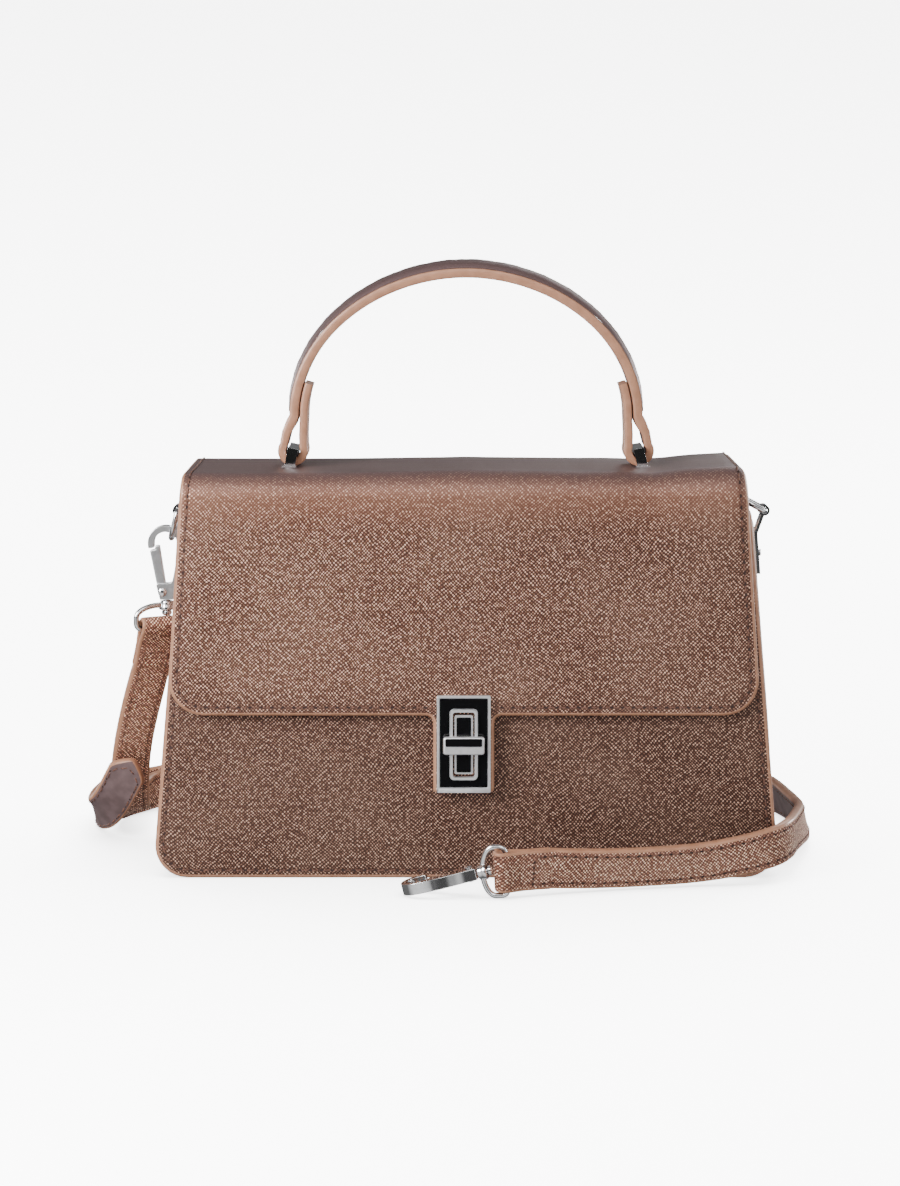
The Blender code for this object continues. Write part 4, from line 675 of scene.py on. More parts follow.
# Bag body
bag = {
    "height": 0.164,
    "baseWidth": 0.2542,
    "topWidth": 0.2258,
    "baseDepth": 0.080,
    "topDepth": 0.066,
    "leather": 0.003,
    "frontHeight": 0.152,
    "backHeight": 0.1595,
    "bottomRadius": 0.013,
    "topRadius": 0.006,
    "edge": 0.0015,
    "stitchInset": 0.0034,
    "give": 0.0005,
    "rollWidth": 0.007,
    "cell": 0.006,
}
lean = (bag["baseDepth"] - bag["topDepth"]) / 2 / bag["height"]
leanAngle = math.atan(lean)


def halfWidth(z):
    return (bag["baseWidth"] - (bag["baseWidth"] - bag["topWidth"]) * z / bag["height"]) / 2


def frontY(z):
    return -bag["baseDepth"] / 2 + lean * z


# The panels give a little in the middle and roll over towards their edges
def panelPlace(side):
    def place(a, b, depth, rim):
        roll = bag["give"] * max(0.0, 1 - rim / bag["rollWidth"]) ** 2
        slack = bag["give"] * math.sin(a * 31 + 1.0) * math.sin(b * 40 + 0.6) * min(1.0, rim / 0.02)
        return (a, side * (-frontY(b) - depth - roll - slack * (0.5 if side < 0 else 1.0)), b)

    return place


def panelOutline(height):
    foot, head = halfWidth(0), halfWidth(height)
    low, top = bag["bottomRadius"], bag["topRadius"]
    return rounded([(-foot, 0, low), (foot, 0, low), (head, height, top), (-head, height, top)])


def makePanel(name, node, side, height):
    outline = panelOutline(height)
    place = panelPlace(side)
    skin = leatherSheet(outline, place, bag["leather"], bag["edge"], bag["cell"])
    line = inset(outline, bag["stitchInset"])
    sew(skin, np.vstack([line, line[:1]]), lambda a, b, h: place(a, b, -h, bag["stitchInset"]))
    skin.piece(name, "bag", bodySet, node)


makePanel("frontPanelLeather", "front_panel", -1, bag["frontHeight"])
makePanel("backPanelLeather", "back_panel", 1, bag["backHeight"])
print("panels made")

gusset = {"top": 0.145, "thick": 0.002, "bulge": {-1: -0.0018, 1: 0.0026}, "from": 0.020, "rise": 0.040}


def bulge(z, side):
    share = clamp((z - gusset["from"]) / gusset["rise"])
    return gusset["bulge"][side] * share * share * (3 - 2 * share)


# Side wall from its hem down and round the bottom corner, soft between the two panels
def makeGusset(name, node, side):
    tilt = math.atan2(halfWidth(0) - halfWidth(bag["height"]), bag["height"])
    reach = bag["bottomRadius"]
    centre = halfWidth(reach) - reach / math.cos(tilt)
    aim = (math.cos(tilt), math.sin(tilt))
    line = [(halfWidth(z), z, aim) for z in np.linspace(gusset["top"], reach * 1.09, 34)]
    for aim in arc(1.0, tilt, -math.pi / 2, 15)[1:]:
        line.append((centre + reach * aim[0], reach + reach * aim[1], aim))
    skin = Skin()
    outer, inner = [], []
    along = 0.0
    for index, (x, z, (outX, outZ)) in enumerate(line):
        if index:
            along += math.dist(line[index - 1][:2], (x, z))
        deep = -frontY(z) - bag["leather"] - gap
        rows = ([], [])
        for share in np.linspace(-1, 1, 25):
            soft = 0.00035 * math.sin(z * 95 + side) * math.cos(share * 2.4) * (1 - share * share)
            swell = bulge(z, side) * (1 - share * share) + soft
            for row, under in zip(rows, (0.0, gusset["thick"])):
                # Both faces meet in the hem's edge
                reachOut = swell - (under if index else gusset["thick"] / 2)
                height = z + outZ * reachOut + (0.0 if index else gap)
                place = (side * (x + outX * reachOut), share * deep, height)
                row.append(skin.point(place, (share * deep, along), min(along + 0.0005, 0.02)))
        outer.append(rows[0])
        inner.append(rows[1])
    skin.rows(outer, False)
    skin.rows(inner, False, lambda column: 2)
    for left, right in zip(zip(outer, outer[1:]), zip(inner, inner[1:])):
        for end in (0, -1):
            skin.face((left[0][end], left[1][end], right[1][end], right[0][end]), 1)
    for end in (0, -1):
        skin.rows([outer[end], inner[end]], False, lambda column: 1)
    skin.piece(name, "bag", leatherSet, node, crease=55)


makeGusset("gussetLeftLeather", "gusset_left", -1)
makeGusset("gussetRightLeather", "gusset_right", 1)


baseSheet = {"pastBend": 1.006, "corner": 0.0006, "edge": 0.0005}


def makeBase():
    reach = halfWidth(bag["bottomRadius"]) - bag["bottomRadius"] * baseSheet["pastBend"] - 2 * gap
    deep = bag["baseDepth"] / 2 - bag["leather"] - gap

    def place(a, b, depth, rim):
        return (a, b, depth)

    outline = rectangle(2 * reach, 2 * deep, baseSheet["corner"], steps=2)
    skin = leatherSheet(outline, place, bag["leather"], baseSheet["edge"], 2 * bag["cell"])
    skin.piece("baseLeather", "bag", leatherSet, "base_panel")


makeBase()
refine("base_board", 0.0003, board, "bag", "stiffener_board")
print("gussets and base made")

# Lining
lining = {
    "wall": 0.0008,
    "clear": 0.0006,
    "sideClear": 0.0028,
    "foot": 0.0051,
    "footNarrow": 0.42,
    "top": 0.144,
    "corner": 0.005,
    "lowRow": 0.0085,
    "firstRow": 0.022,
    "rows": 16,
    "pitch": 0.0065,
    "slack": 0.0011,
    "smoothRim": 0.03,  # the creases fade out over this height, and over the next at the foot
    "smoothFoot": 0.02,
    "crease": (0.9, 60),  # radians for each point along, and for each metre up
    "drift": (0.37, 35),
    "reach": (0.12, 0.04),  # half the width and half the depth that the slack is shared over
}


def liningSection(z, inward):
    wide = halfWidth(z) - gusset["thick"] - lining["sideClear"] - inward
    wide -= bag["bottomRadius"] * lining["footNarrow"] * max(0.0, 1 - z / bag["bottomRadius"])
    deep = -frontY(z) - bag["leather"] - lining["clear"] - inward
    return evenly(rectangle(2 * wide, 2 * deep, lining["corner"]), lining["pitch"])


# Cloth tub that creases a little where it isn't held
def makeLining():
    heights = [lining["foot"], lining["lowRow"], bag["bottomRadius"]]
    heights.extend(np.linspace(lining["firstRow"], lining["top"], lining["rows"]))
    (creaseAlong, creaseUp), (driftAlong, driftUp) = lining["crease"], lining["drift"]
    reachX, reachY = lining["reach"]
    # The lower rows are longer and end early, at the left of the back wall
    count = len(liningSection(lining["top"], lining["wall"]))
    skin = Skin()
    walls = ([], [])
    for z in heights:
        fromRim = (lining["top"] - z) / lining["smoothRim"]
        fromFoot = (z - lining["foot"]) / lining["smoothFoot"]
        held = min(1.0, fromRim) * min(1.0, fromFoot)
        for rows, inward in zip(walls, (0.0, lining["wall"])):
            height = z + (inward if z == lining["foot"] else 0.0)
            row = []
            for index, (x, y) in enumerate(liningSection(height, inward)[:count]):
                fold = 0.5 + 0.5 * math.sin(index * creaseAlong + z * creaseUp)
                drift = 0.5 + 0.5 * math.cos(index * driftAlong - z * driftUp)
                slack = lining["slack"] * held * fold * drift
                place = (x * (1 - slack / reachX), y * (1 - slack / reachY), height)
                row.append(skin.point(place, (index * lining["pitch"], height)))
            rows.append(row)
    outer, inner = walls
    for rows in (outer, inner, [outer[-1], inner[-1]]):
        skin.rows(rows)
    skin.face(outer[0])
    skin.face(reversed(inner[0]))
    skin.piece("liningCloth", "bag", [cloth], "lining", "lining_fabric", 50)


makeLining()

pocket = {"width": 0.150, "height": 0.085, "middle": 0.0875, "corner": 0.006, "thick": 0.001, "sag": 0.0012}


def makePocket():
    start = bag["leather"] + lining["clear"] + lining["wall"] + gap
    outline = rectangle(pocket["width"], pocket["height"], pocket["corner"], (0, pocket["middle"]))

    def place(a, b, depth, rim):
        sag = pocket["sag"] * max(0.0, (b - 0.10) / 0.03) * (1 - (2 * a / pocket["width"]) ** 2)
        return (a, -frontY(b) - start - depth - sag, b)

    skin = leatherSheet(outline, place, pocket["thick"], pocket["thick"] / 2, bag["cell"])
    sew(skin, inset(outline, 0.003), lambda a, b, h: (a, -frontY(b) - start - pocket["thick"] - h, b))
    skin.piece("slipPocket", "bag", [cloth, cloth, cloth, thread, hole], "inner_pocket", "lining_fabric")


makePocket()
refine("catch_magnet", 0.0002, steel, "bag", "plain_steel")
print("lining made")

# Flap
flap = {
    "thick": 0.0024,
    "facing": 0.0006,
    "clear": 0.0021,
    "topWidth": 0.2248,
    "bottomWidth": 0.2386,
    "shift": -0.001,
    "bottom": 0.0673,
    "frontRadius": 0.010,
    "backRadius": 0.004,
    "corner": 0.014,
    "tabWidth": 0.0246,
    "tabBottom": 0.0361,
    "tabCorner": 0.0015,
    "tabFillet": 0.003,
    "edge": 0.0013,
    "stitchInset": 0.0035,
    "cell": 0.0045,
    "liftAt": (-0.113, -0.086, -0.047, -0.001, 0.045, 0.076, 0.095, 0.114),
    "lift": (0.2, 0.0, 0.2, 1.3, 0.6, 0.9, 2.3, 3.3),  # mm
    "ringX": 0.0719,
}
frontOut = flap["clear"] + flap["facing"] + gap + flap["thick"]
lineY = -bag["baseDepth"] / 2 - frontOut
backY = -frontY(bag["backHeight"])
startZ = bag["backHeight"] + gap
foldZ = bag["height"] - flap["frontRadius"]
foldY = lineY + lean * foldZ + flap["frontRadius"] / math.cos(leanAngle)
rise = bag["height"] - flap["backRadius"] - startZ
topStart = rise + flap["backRadius"] * math.pi / 2
foldStart = topStart + backY - flap["backRadius"] - foldY
foldTurn = math.pi / 2 - leanAngle
frontStart = foldStart + flap["frontRadius"] * foldTurn
tangentZ = foldZ + flap["frontRadius"] * math.sin(leanAngle)


def flapLengthAt(z):
    return frontStart + (tangentZ - z) / math.cos(leanAngle)


# How far the leather stands proud: lifted at the right end and between the handle's rings, held down at these
def flapSwell(x, along):
    lift = np.interp(x, flap["liftAt"], flap["lift"])
    for side in (-1, 1):
        lift *= 1 - math.exp(-(((x - side * flap["ringX"]) / 0.010) ** 2))
    top = clamp(along / 0.012) * clamp((frontStart + 0.035 - along) / 0.045)
    down = (along - frontStart) / 0.10
    front = 0.5 * math.sin(math.pi * clamp(down)) * (1 - (x / 0.12) ** 2)
    wave = 0.22 * math.sin(x * 47 + 0.8) * math.sin(along * 58)
    return 0.001 * (lift * top * top * (3 - 2 * top) + front + wave * clamp(down * 4))


def flapPoint(x, along, depth, rim=0.02):
    roll = 0.0007 * max(0.0, 1 - rim / 0.008) ** 2 * clamp((along - foldStart) / 0.02)
    depth = depth - flapSwell(x, along) * min(1.0, rim / 0.004 + 0.3) + roll
    if along <= rise:
        return (x, backY - depth, startZ + along)
    if along <= topStart:
        turn = (along - rise) / flap["backRadius"]
        reach = flap["backRadius"] - depth
        middle = (backY - flap["backRadius"], bag["height"] - flap["backRadius"])
        return (x, middle[0] + reach * math.cos(turn), middle[1] + reach * math.sin(turn))
    if along <= foldStart:
        return (x, backY - flap["backRadius"] - (along - topStart), bag["height"] - depth)
    turn = min(along - foldStart, frontStart - foldStart) / flap["frontRadius"] + math.pi / 2
    reach = flap["frontRadius"] - depth
    down = max(0.0, along - frontStart)
    y = foldY + reach * math.cos(turn) - down * math.sin(leanAngle)
    return (x, y, foldZ + reach * math.sin(turn) - down * math.cos(leanAngle))


# The flap's right half, mirrored and moved to where the flap lies
def bothSides(right):
    left = [(-a, b, radius) for a, b, radius in reversed(right)]
    return [(a + flap["shift"], b) for a, b in rounded(right + left)]


def flapOutline(margin):
    top = flap["topWidth"] / 2 - margin
    low = flap["bottomWidth"] / 2 - margin
    start = 0.001 if margin else 0.0
    foot = flapLengthAt(flap["bottom"]) - margin
    half, tip = flap["tabWidth"] / 2 - margin, flapLengthAt(flap["tabBottom"]) - margin
    right = [(top, start, 0), (top, foldStart, 0), (low, foot, flap["corner"] - margin)]
    return bothSides(right + [(half, foot, flap["tabFillet"] + margin), (half, tip, flap["tabCorner"])])


def makeFlap():
    folds = [*np.linspace(rise, topStart, 6), *np.linspace(foldStart - 0.003, frontStart + 0.012, 24)]
    skin = leatherSheet(flapOutline(0.0), flapPoint, flap["thick"], flap["edge"], flap["cell"], folds)
    back = flap["stitchInset"]
    width, wide = flap["topWidth"] / 2 - back, flap["bottomWidth"] / 2 - back
    high = flapLengthAt(flap["bottom"]) - back
    line = bothSides([(width, 0.004, 0), (width, foldStart, 0), (wide, high, flap["corner"] - back)])
    sew(skin, line, lambda a, b, h: flapPoint(a, b, -h, back))
    skin.piece("flapLeather", "flap", [bronzeFlap] + leatherSet[1:], "flap")

    def inner(a, b, depth, rim):
        return flapPoint(a, b, depth + flap["thick"] + gap, rim)

    skin = leatherSheet(flapOutline(0.001), inner, flap["facing"], 0.0004, flap["cell"], folds)
    skin.piece("flapFacing", "flap", [facing, paint, facing], "flap_lining", "lining_leather")


makeFlap()

hinge = {
    "width": 0.216,
    "thick": 0.0006,
    "inside": 0.0043,
    "foot": 0.148,
    "top": 0.1600,
    "turn": 0.0015,
    "reach": 0.008,
    "bendDown": 0.0028,
    "bendIn": 0.005,
}


# Soft leather strip inside the hinge, from the back panel to the flap
def makeHinge():
    turn, top = hinge["turn"], hinge["top"]
    y = -frontY(top) - hinge["inside"]
    line = [(-frontY(z) - hinge["inside"], z) for z in np.linspace(hinge["foot"], top - turn, 22)]
    line += arc(turn, 0, math.pi / 2, 7, (y - turn, top - turn))[1:]
    line += [(y - turn - reach, top) for reach in np.linspace(0, hinge["reach"], 16)[1:]]
    stations = [((flap["shift"], a, b), (1, 0, 0), hinge["thick"]) for a, b in line]
    ribbon = Ribbon(stations, hinge["width"], hinge["thick"] / 2)
    made = ribbon.skin(crown=0.0, slots=(0, 0, 0)).piece("hingeStrip", None, [facing], slot="lining_leather")
    y - hinge["bendIn"]
    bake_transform(made)


makeHinge()
print("flap made")


# Makes a cut and keeps its result in the mesh
def carve(made, cutter):
    cut = made.modifiers.new("cut", "BOOLEAN")
    cut.object, cut.solver = cutter, "EXACT"
    graph = bpy.context.evaluated_depsgraph_get()
    mesh = bpy.data.meshes.new_from_object(made.evaluated_get(graph))
    made.modifiers.clear()
    made.data = mesh
    bpy.data.objects.remove(cutter)


# A plate of an outline of (a, b) points, smooth where it is rounded. Without a body it is a cutter
def block(name, outline, thick, place, material, body=None, node=None):
    skin = Skin()
    rows = [[skin.point(place(a, depth, b), (a, b)) for a, b in outline] for depth in (-thick / 2, thick / 2)]
    skin.rows(rows, True, ends=0)
    if body:
        return skin.piece(name, body, [material], node, "polished_chrome", 30)
    made = bareObject(name, skin.points, skin.faces, material)
    turnOutward(made.data)
    return made


# A profile of (radius, height) points turned about the frame's own upright axis
def lathe(name, profile, place, node=None, hollow=False):
    skin = Skin()
    rows = skin.rings(profile, 36, place)
    skin.rows(rows + rows[:1] * hollow, True, ends=None if hollow else 0)
    return skin.piece(name, "bag", [chrome], node, "polished_chrome", 35)


def carry(node, material):
    for place in nodes[node].material_slots:
        place.material = material


# Trigger hooks. A hook's own axes run across it, through it and up from the swivel to the bow
hook = {
    "thick": 0.0046,
    "halfWidth": 0.0073,
    "wire": 0.0026,
    "bowCentre": 0.0235,
    "nose": 0.0214,
    "baseTop": 0.0068,
    "rivetAt": (-0.0015, 0.0032),
    "rivet": 0.0008,
    "rivetHead": 0.0018,
    "headHeight": 0.0005,
    "slot": 0.0027,
    "gateThick": 0.0020,
    "gateWidth": 0.0020,
    "gateRoot": 0.0019,
    "gateOver": 0.0012,
    "gateBevel": 0.0007,
    "seatDrop": 0.0004,
    "shoulder": (0.0006, 0.0009),
    "hub": 0.0033,
    "hubHeight": 0.0040,
    "pin": 0.0012,
    "pinHead": 0.0021,
    "pinHeadHeight": 0.0022,
    "ringWire": 0.00115,
    "ringHalfWidth": 0.0097,
    "ringDepth": 0.0096,
    "ringCorner": 0.0024,
    "bevel": 0.0009,
    "shank": [(0.0028, 0), (0.0036, 0.004), (0.0050, 0.0085), (0.0063, 0.0130), (0.0070, 0.0180)],
    "inside": [(0.0046, 0.0205), (0.0042, 0.0165), (0.0034, 0.0115), (0.0026, 0.0080)],
    "slotShape": [
        (-0.009, 0.0012),
        (0.0016, 0.0012),
        (0.0016, 0.0035),
        (0.0040, 0.0120),
        (-0.0032, 0.0120),
        (-0.009, 0.0090),
    ],
    "leftDrop": (0.00553, 0, 0.0373),
    "frontBase": (0.0041, 0.031, 0.0100),
    "frontTurn": (14, -10),
    "leftRing": (25, -0.0036, 0),
    "frontRing": (90, 0.0, 10),
}
sideRing = {
    "knuckleZ": 0.1458,
    "knuckleOut": 0.0022,
    "lugBottom": 0.1198,
    "lugTop": 0.1373,
    "lugThick": 0.0014,
    "wire": 0.00115,
    "halfWidth": 0.0072,
    "reach": 0.0122,
    "leftTilt": 15.0,
    "rightTilt": 152.0,
}


def knuckle(way):
    z = (sideRing["lugBottom"] + sideRing["lugTop"]) / 2
    reach = halfWidth(z) + bulge(z, way) + gap + sideRing["lugThick"] + sideRing["knuckleOut"]
    return Vector((way * reach, 0, sideRing["knuckleZ"]))


def hookOutline():
    wide, inner, centre = hook["halfWidth"], hook["halfWidth"] - hook["wire"], (0, hook["bowCentre"])
    nose, base = hook["nose"], hook["baseTop"]
    outline = [(-0.0026, 0), *smoothCurve(hook["shank"], 0.001)]
    outline += arc(wide, 0, math.pi, 33, centre)
    outline += [(-wide + 0.0001, nose + 0.0004), (-wide + 0.0005, nose), (-inner, nose + 0.0003)]
    outline += arc(inner, math.pi, 0, 27, centre)
    outline += [*smoothCurve(hook["inside"], 0.001)]
    return outline + [(0.0016, base + 0.0001), (0.0006, base), (-0.0036, base), (-0.0041, 0.006)]


def gateOutline():
    pivot = Vector(hook["rivetAt"])
    half = hook["gateWidth"] / 2
    nose = Vector((-hook["halfWidth"] + hook["wire"] + gap + half, hook["nose"] + hook["gateOver"]))
    ahead = (nose - pivot).normalized()
    across = Vector((ahead.y, -ahead.x)) * half
    seat = (nose.x - half, hook["nose"] - hook["seatDrop"])
    shoulder = (hook["shoulder"][0] - hook["halfWidth"], hook["nose"] - hook["shoulder"][1])
    start = math.atan2(-across.y, -across.x)
    root = arc(hook["gateRoot"], start, start + math.pi, 13, pivot)
    return [tuple(nose + across), tuple(nose - across), seat, shoulder, *root]


def ringLoop(slide, tilt):
    half, deep = hook["ringHalfWidth"], hook["ringDepth"]
    left = [(-half, -deep / 2, 0), (-half, -deep, hook["ringCorner"])]
    points = rounded(left + [(-a, b, radius) for a, b, radius in reversed(left)])
    points += [(half * a, -deep / 2 + deep / 2 * b) for a, b in arc(1.0, 0, math.pi, 29)[1:-1]]
    sine, cosine = math.sin(tilt), math.cos(tilt)
    return [((a + slide) * cosine + b * sine, b * cosine - (a + slide) * sine) for a, b in points]


# The swivel ring is turned about the hook's axis, slid sideways in the hub and tilted
def makeHook(name, node, place, metal, ringTurn, slide, tilt):
    def at(a, depth, b):
        return place @ Vector((a, depth, b))

    body = block(name + "Body", hookOutline(), hook["thick"], at, metal, "bag", node + "_body")
    carve(body, block(name + "Slot", hook["slotShape"], hook["slot"], at, metal))
    bevelled(body, hook["bevel"], 4, 40)
    gate = block(name + "Gate", gateOutline(), hook["gateThick"], at, metal, node + "_gate", node + "_gate")
    bevelled(gate, hook["gateBevel"], 4, 40)
    x, z = hook["rivetAt"]
    head, lip = hook["rivetHead"], hook["headHeight"]
    reach = hook["thick"] / 2 + gap + lip
    dome = [(0.00005, reach + 0.0002), (head * 0.5, reach + 0.00015), (head * 0.85, reach - 0.0001)]
    dome += [(head, reach - lip * 0.6), (head, reach - lip), (hook["rivet"], reach - lip)]
    profile = dome + [(radius, -height) for radius, height in reversed(dome)]
    rivet = lathe(name + "Rivet", profile, lambda a, b, h: at(x + a, h, z + b), node + "_rivet")
    top = -gap
    low = top - hook["hubHeight"]
    shank = low - gap
    head, tall = hook["pinHead"], hook["pinHeadHeight"]
    profile = [(0.0001, top), (hook["pin"], top), (hook["pin"], shank), (head * 0.75, shank)]
    profile += [(head, shank - 0.0004), (head, shank - tall * 0.6), (head * 0.75, shank - tall * 0.92)]
    profile += [(head * 0.3, shank - tall), (0.0001, shank - tall)]
    pin = lathe(name + "Pin", profile, at, node + "_pin")
    wide, bore = hook["hub"], hook["pin"] + gap
    down = [(0.62, gap), (0.80, 0.0004), (0.86, 0.0008), (0.84, 0.0015), (0.93, 0.0023), (1.0, 0.0031)]
    profile = [(wide * share, top - drop) for share, drop in down]
    profile += [(wide * 0.98, low + 0.0003), (wide * 0.86, low), (bore, low), (bore, top - gap)]
    hub = lathe(name + "Hub", profile, at, hollow=True)
    middle = (top + low) / 2
    loop = [at(a * math.cos(ringTurn), a * math.sin(ringTurn), middle + b) for a, b in ringLoop(slide, tilt)]
    ring = wire(name + "Ring", loop, hook["ringWire"], "bag", node + "_ring", 6)
    return [body, rivet, pin, hub, ring]


def hookPlace(base, tilt, yaw):
    sine, cosine = math.sin(tilt), math.cos(tilt)
    down = Matrix(((0, -sine, -cosine), (-1, 0, 0), (0, cosine, -sine))).to_4x4()
    return Matrix.Translation(base) @ Matrix.Rotation(yaw, 4, "Z") @ down


def swivelEye(place, ringTurn, slide, tilt):
    hub = -gap - hook["hubHeight"] / 2 - gap / 2
    across = slide * math.cos(tilt) - hook["ringDepth"] * math.sin(tilt)
    down = hub - hook["ringDepth"] * math.cos(tilt) - slide * math.sin(tilt)
    return place @ Vector((across * math.cos(ringTurn), across * math.sin(ringTurn), down))


# The left hook hangs from its D-ring, the other one lies on the floor in front of the bag
leftPlace = Matrix.Translation(knuckle(-1) - Vector(hook["leftDrop"]))
x, ahead, z = hook["frontBase"]
rightPlace = hookPlace((x, -bag["baseDepth"] / 2 - ahead, z), *map(math.radians, hook["frontTurn"]))
rings = (hook["leftRing"], hook["frontRing"])
leftRing, frontRing = ((math.radians(turn), slide, math.radians(tilt)) for turn, slide, tilt in rings)
makeHook("leftHook", "hook_left", leftPlace, brushed, *leftRing)
frontHook = makeHook("frontHook", "hook_right", rightPlace, chrome, *frontRing)
print("hooks made")

# Shoulder strap. Each route point is a place, and the direction of the strap's width where that isn't upright
strap = {
    "width": 0.0165,
    "thick": 0.0038,
    "layer": 0.0018,
    "foldReach": 0.0021,
    "point": 0.0074,
    "pointAt": (0.12, 0.3, 0.5, 0.7, 0.88, 0.97, 1.0),
    "pointWidth": (0.97, 0.86, 0.70, 0.51, 0.31, 0.18, 0.10),
    "stitchInset": 0.0027,
    "crossStitch": 0.0165,
    "crossPitch": 0.0024,
    "step": 0.0035,
    "buckleEye": (-0.1000, 0.0930, 0.0118),
    "tailJoint": -0.1235,
    "buckleWire": 0.0012,
    "buckleLength": 0.019,
    "buckleHalf": 0.0102,
    "keeperWidth": 0.008,
    "keeperWall": 0.0014,
    "keeperClear": 0.0004,
}
shortRoute = [
    (-0.1308, 0.0045, 0.0800, 0.906, 0.423, 0.0),
    (-0.1345, 0.0090, 0.0675, 0.94, 0.34, 0.0),
    (-0.1380, 0.0145, 0.0550, 0.93, 0.36, 0.0),
    (-0.1408, 0.0200, 0.0430, 0.92, 0.36, 0.0),
    (-0.1430, 0.0275, 0.0300, 0.94, 0.28, 0.0),
    (-0.1442, 0.0370, 0.0175, 0.98, 0.15, 0.0),
    (-0.1450, 0.0480, 0.0100, 0.97, 0.0, 0.20),
    (-0.1455, 0.0600, 0.0080, 0.80, 0.0, 0.60),
    (-0.1448, 0.0725, 0.0086, 0.45, 0.0, 0.89),
    (-0.1405, 0.0840, 0.0090, 0.12, 0.0, 0.99),
    (-0.1340, 0.0908, 0.0100),
    (-0.1280, 0.0929, 0.0115),
    (-0.1180, 0.0930, 0.0118),
]
tailRoute = [
    (strap["tailJoint"] - gap, 0.0972, 0.0117),
    (-0.1290, 0.0972, 0.0115),
    (-0.1360, 0.0968, 0.0102),
    (-0.1430, 0.0945, 0.0093),
    (-0.1520, 0.0870, 0.0090),
    (-0.1580, 0.0755, 0.0090),
    (-0.1600, 0.0630, 0.0090),
    (-0.1600, 0.0520, 0.0092, -0.12, 0.0, 0.99),
    (-0.1585, 0.0420, 0.0098, -0.34, 0.0, 0.94),
    (-0.1557, 0.0330, 0.0118, -0.58, -0.08, 0.81),
    (-0.1520, 0.0258, 0.0162, -0.78, -0.10, 0.62),
    (-0.1477, 0.0200, 0.0232, -0.86, -0.05, 0.50),
    (-0.1432, 0.0160, 0.0318, -0.88, 0.0, 0.47),
]
longRoute = [
    (strap["tailJoint"], 0.0972, 0.0117),
    (-0.1100, 0.0980, 0.0118),
    (-0.1000, 0.0990, 0.0118),
    (-0.0950, 0.0977, 0.0118),
    (-0.0885, 0.0930, 0.0118),
    (-0.0815, 0.0888, 0.0118),
    (-0.0730, 0.0880, 0.0112),
    (-0.0560, 0.0880, 0.0090),
    (-0.0100, 0.0880, 0.0090),
    (0.0250, 0.0885, 0.0090),
    (0.0440, 0.0950, 0.0090),
    (0.0520, 0.1110, 0.0090),
    (0.0440, 0.1270, 0.0090),
    (0.0250, 0.1335, 0.0090),
    (-0.0250, 0.1345, 0.0090),
    (-0.0440, 0.1410, 0.0090),
    (-0.0520, 0.1570, 0.0090),
    (-0.0440, 0.1730, 0.0090),
    (-0.0250, 0.1795, 0.0090),
    (0.0250, 0.1795, 0.0090),
    (0.0650, 0.1720, 0.0090),
    (0.1000, 0.1480, 0.0090),
    (0.1240, 0.1150, 0.0089, -0.10, 0.0, 0.99),
    (0.1375, 0.0800, 0.0088, -0.22, 0.0, 0.97),
    (0.1428, 0.0520, 0.0090, -0.34, 0.0, 0.94),
    (0.1434, 0.0300, 0.0104, -0.30, 0.0, 0.95),
    (0.1418, 0.0100, 0.0124, -0.18, 0.0, 0.98),
    (0.1381, -0.0080, 0.0144, -0.08, 0.0, 1.0),
    (0.1342, -0.0240, 0.0157),
    (0.1303, -0.0385, 0.0163, -0.02, -0.02, 1.0),
    (0.1242, -0.0480, 0.0155, -0.04, -0.06, 1.0),
    (0.1120, -0.0520, 0.0130, -0.04, -0.13, 0.99),
    (0.0940, -0.0540, 0.0102, -0.02, -0.19, 0.98),
    (0.0690, -0.0588, 0.0094, -0.02, -0.21, 0.98),
    (0.0500, -0.0628, 0.0098, -0.04, -0.18, 0.98),
    (0.0330, -0.0672, 0.0110, -0.06, -0.12, 0.99),
]
leftEye = swivelEye(leftPlace, *leftRing)
frontEye = swivelEye(rightPlace, *frontRing)


# Stations of a route: centre, direction of the width and thickness
def follow(route):
    full = [point if len(point) > 3 else (*point, 0.0, 0.0, 1.0) for point in route]
    rows = smoothCurve(full, strap["step"])
    return [(row[:3], row[3:6], strap["thick"]) for row in rows]


# An end turned back round the ring's wire, with its lap on the inner side of the strap
def turnedEnd(stations, eye, reach, side):
    across = Vector(stations[0][1]).normalized()
    away = Vector(stations[0][0]) - eye
    distance = away.length
    away.normalize()
    out = away.cross(across).normalized() * side
    layer = strap["layer"]
    turn = hook["ringWire"] + gap + layer / 2
    lap = (layer + gap) / 2

    def straight(first, last, way):
        shares = np.linspace(first, last, 7)
        return [(eye + away * distance * share + out * lap * way, across, layer) for share in shares]

    made = straight(0.955, 0.42, 1)
    near, far = [(60, 0.0), (75, 0.0), (90, 0.0)], [(degrees, reach) for degrees in range(90, 271, 15)]
    for degrees, shift in near + far + [(270, 0.0), (285, 0.0), (300, 0.0)]:
        angle = math.radians(degrees)
        place = eye + away * (turn * math.cos(angle) - shift) + out * turn * math.sin(angle)
        made.append((place, across, layer))
    return made + straight(0.42, 0.965, -1)


# The strap along a route, turned back round an eye at its start and end. The ways give the side of the laps
def strapStations(route, startEye=None, endEye=None, startWay=1, endWay=-1, endReach=0.0):
    stations = follow(route)
    if startEye is not None:
        stations = turnedEnd(stations, startEye, strap["foldReach"], startWay) + stations
    if endEye is not None:
        stations.reverse()
        stations = turnedEnd(stations, endEye, endReach, endWay) + stations
        stations.reverse()
    return stations


# How far along the ribbon its first or last fold passes an eye
def foldAt(ribbon, eye, last):
    half = len(ribbon.along) // 2
    part = slice(half, None) if last else slice(0, half)
    distances = np.linalg.norm(ribbon.centre[part] - np.array(eye), axis=1)
    near = np.flatnonzero(distances < 0.006)
    return ribbon.along[part][near[len(near) // 2]]


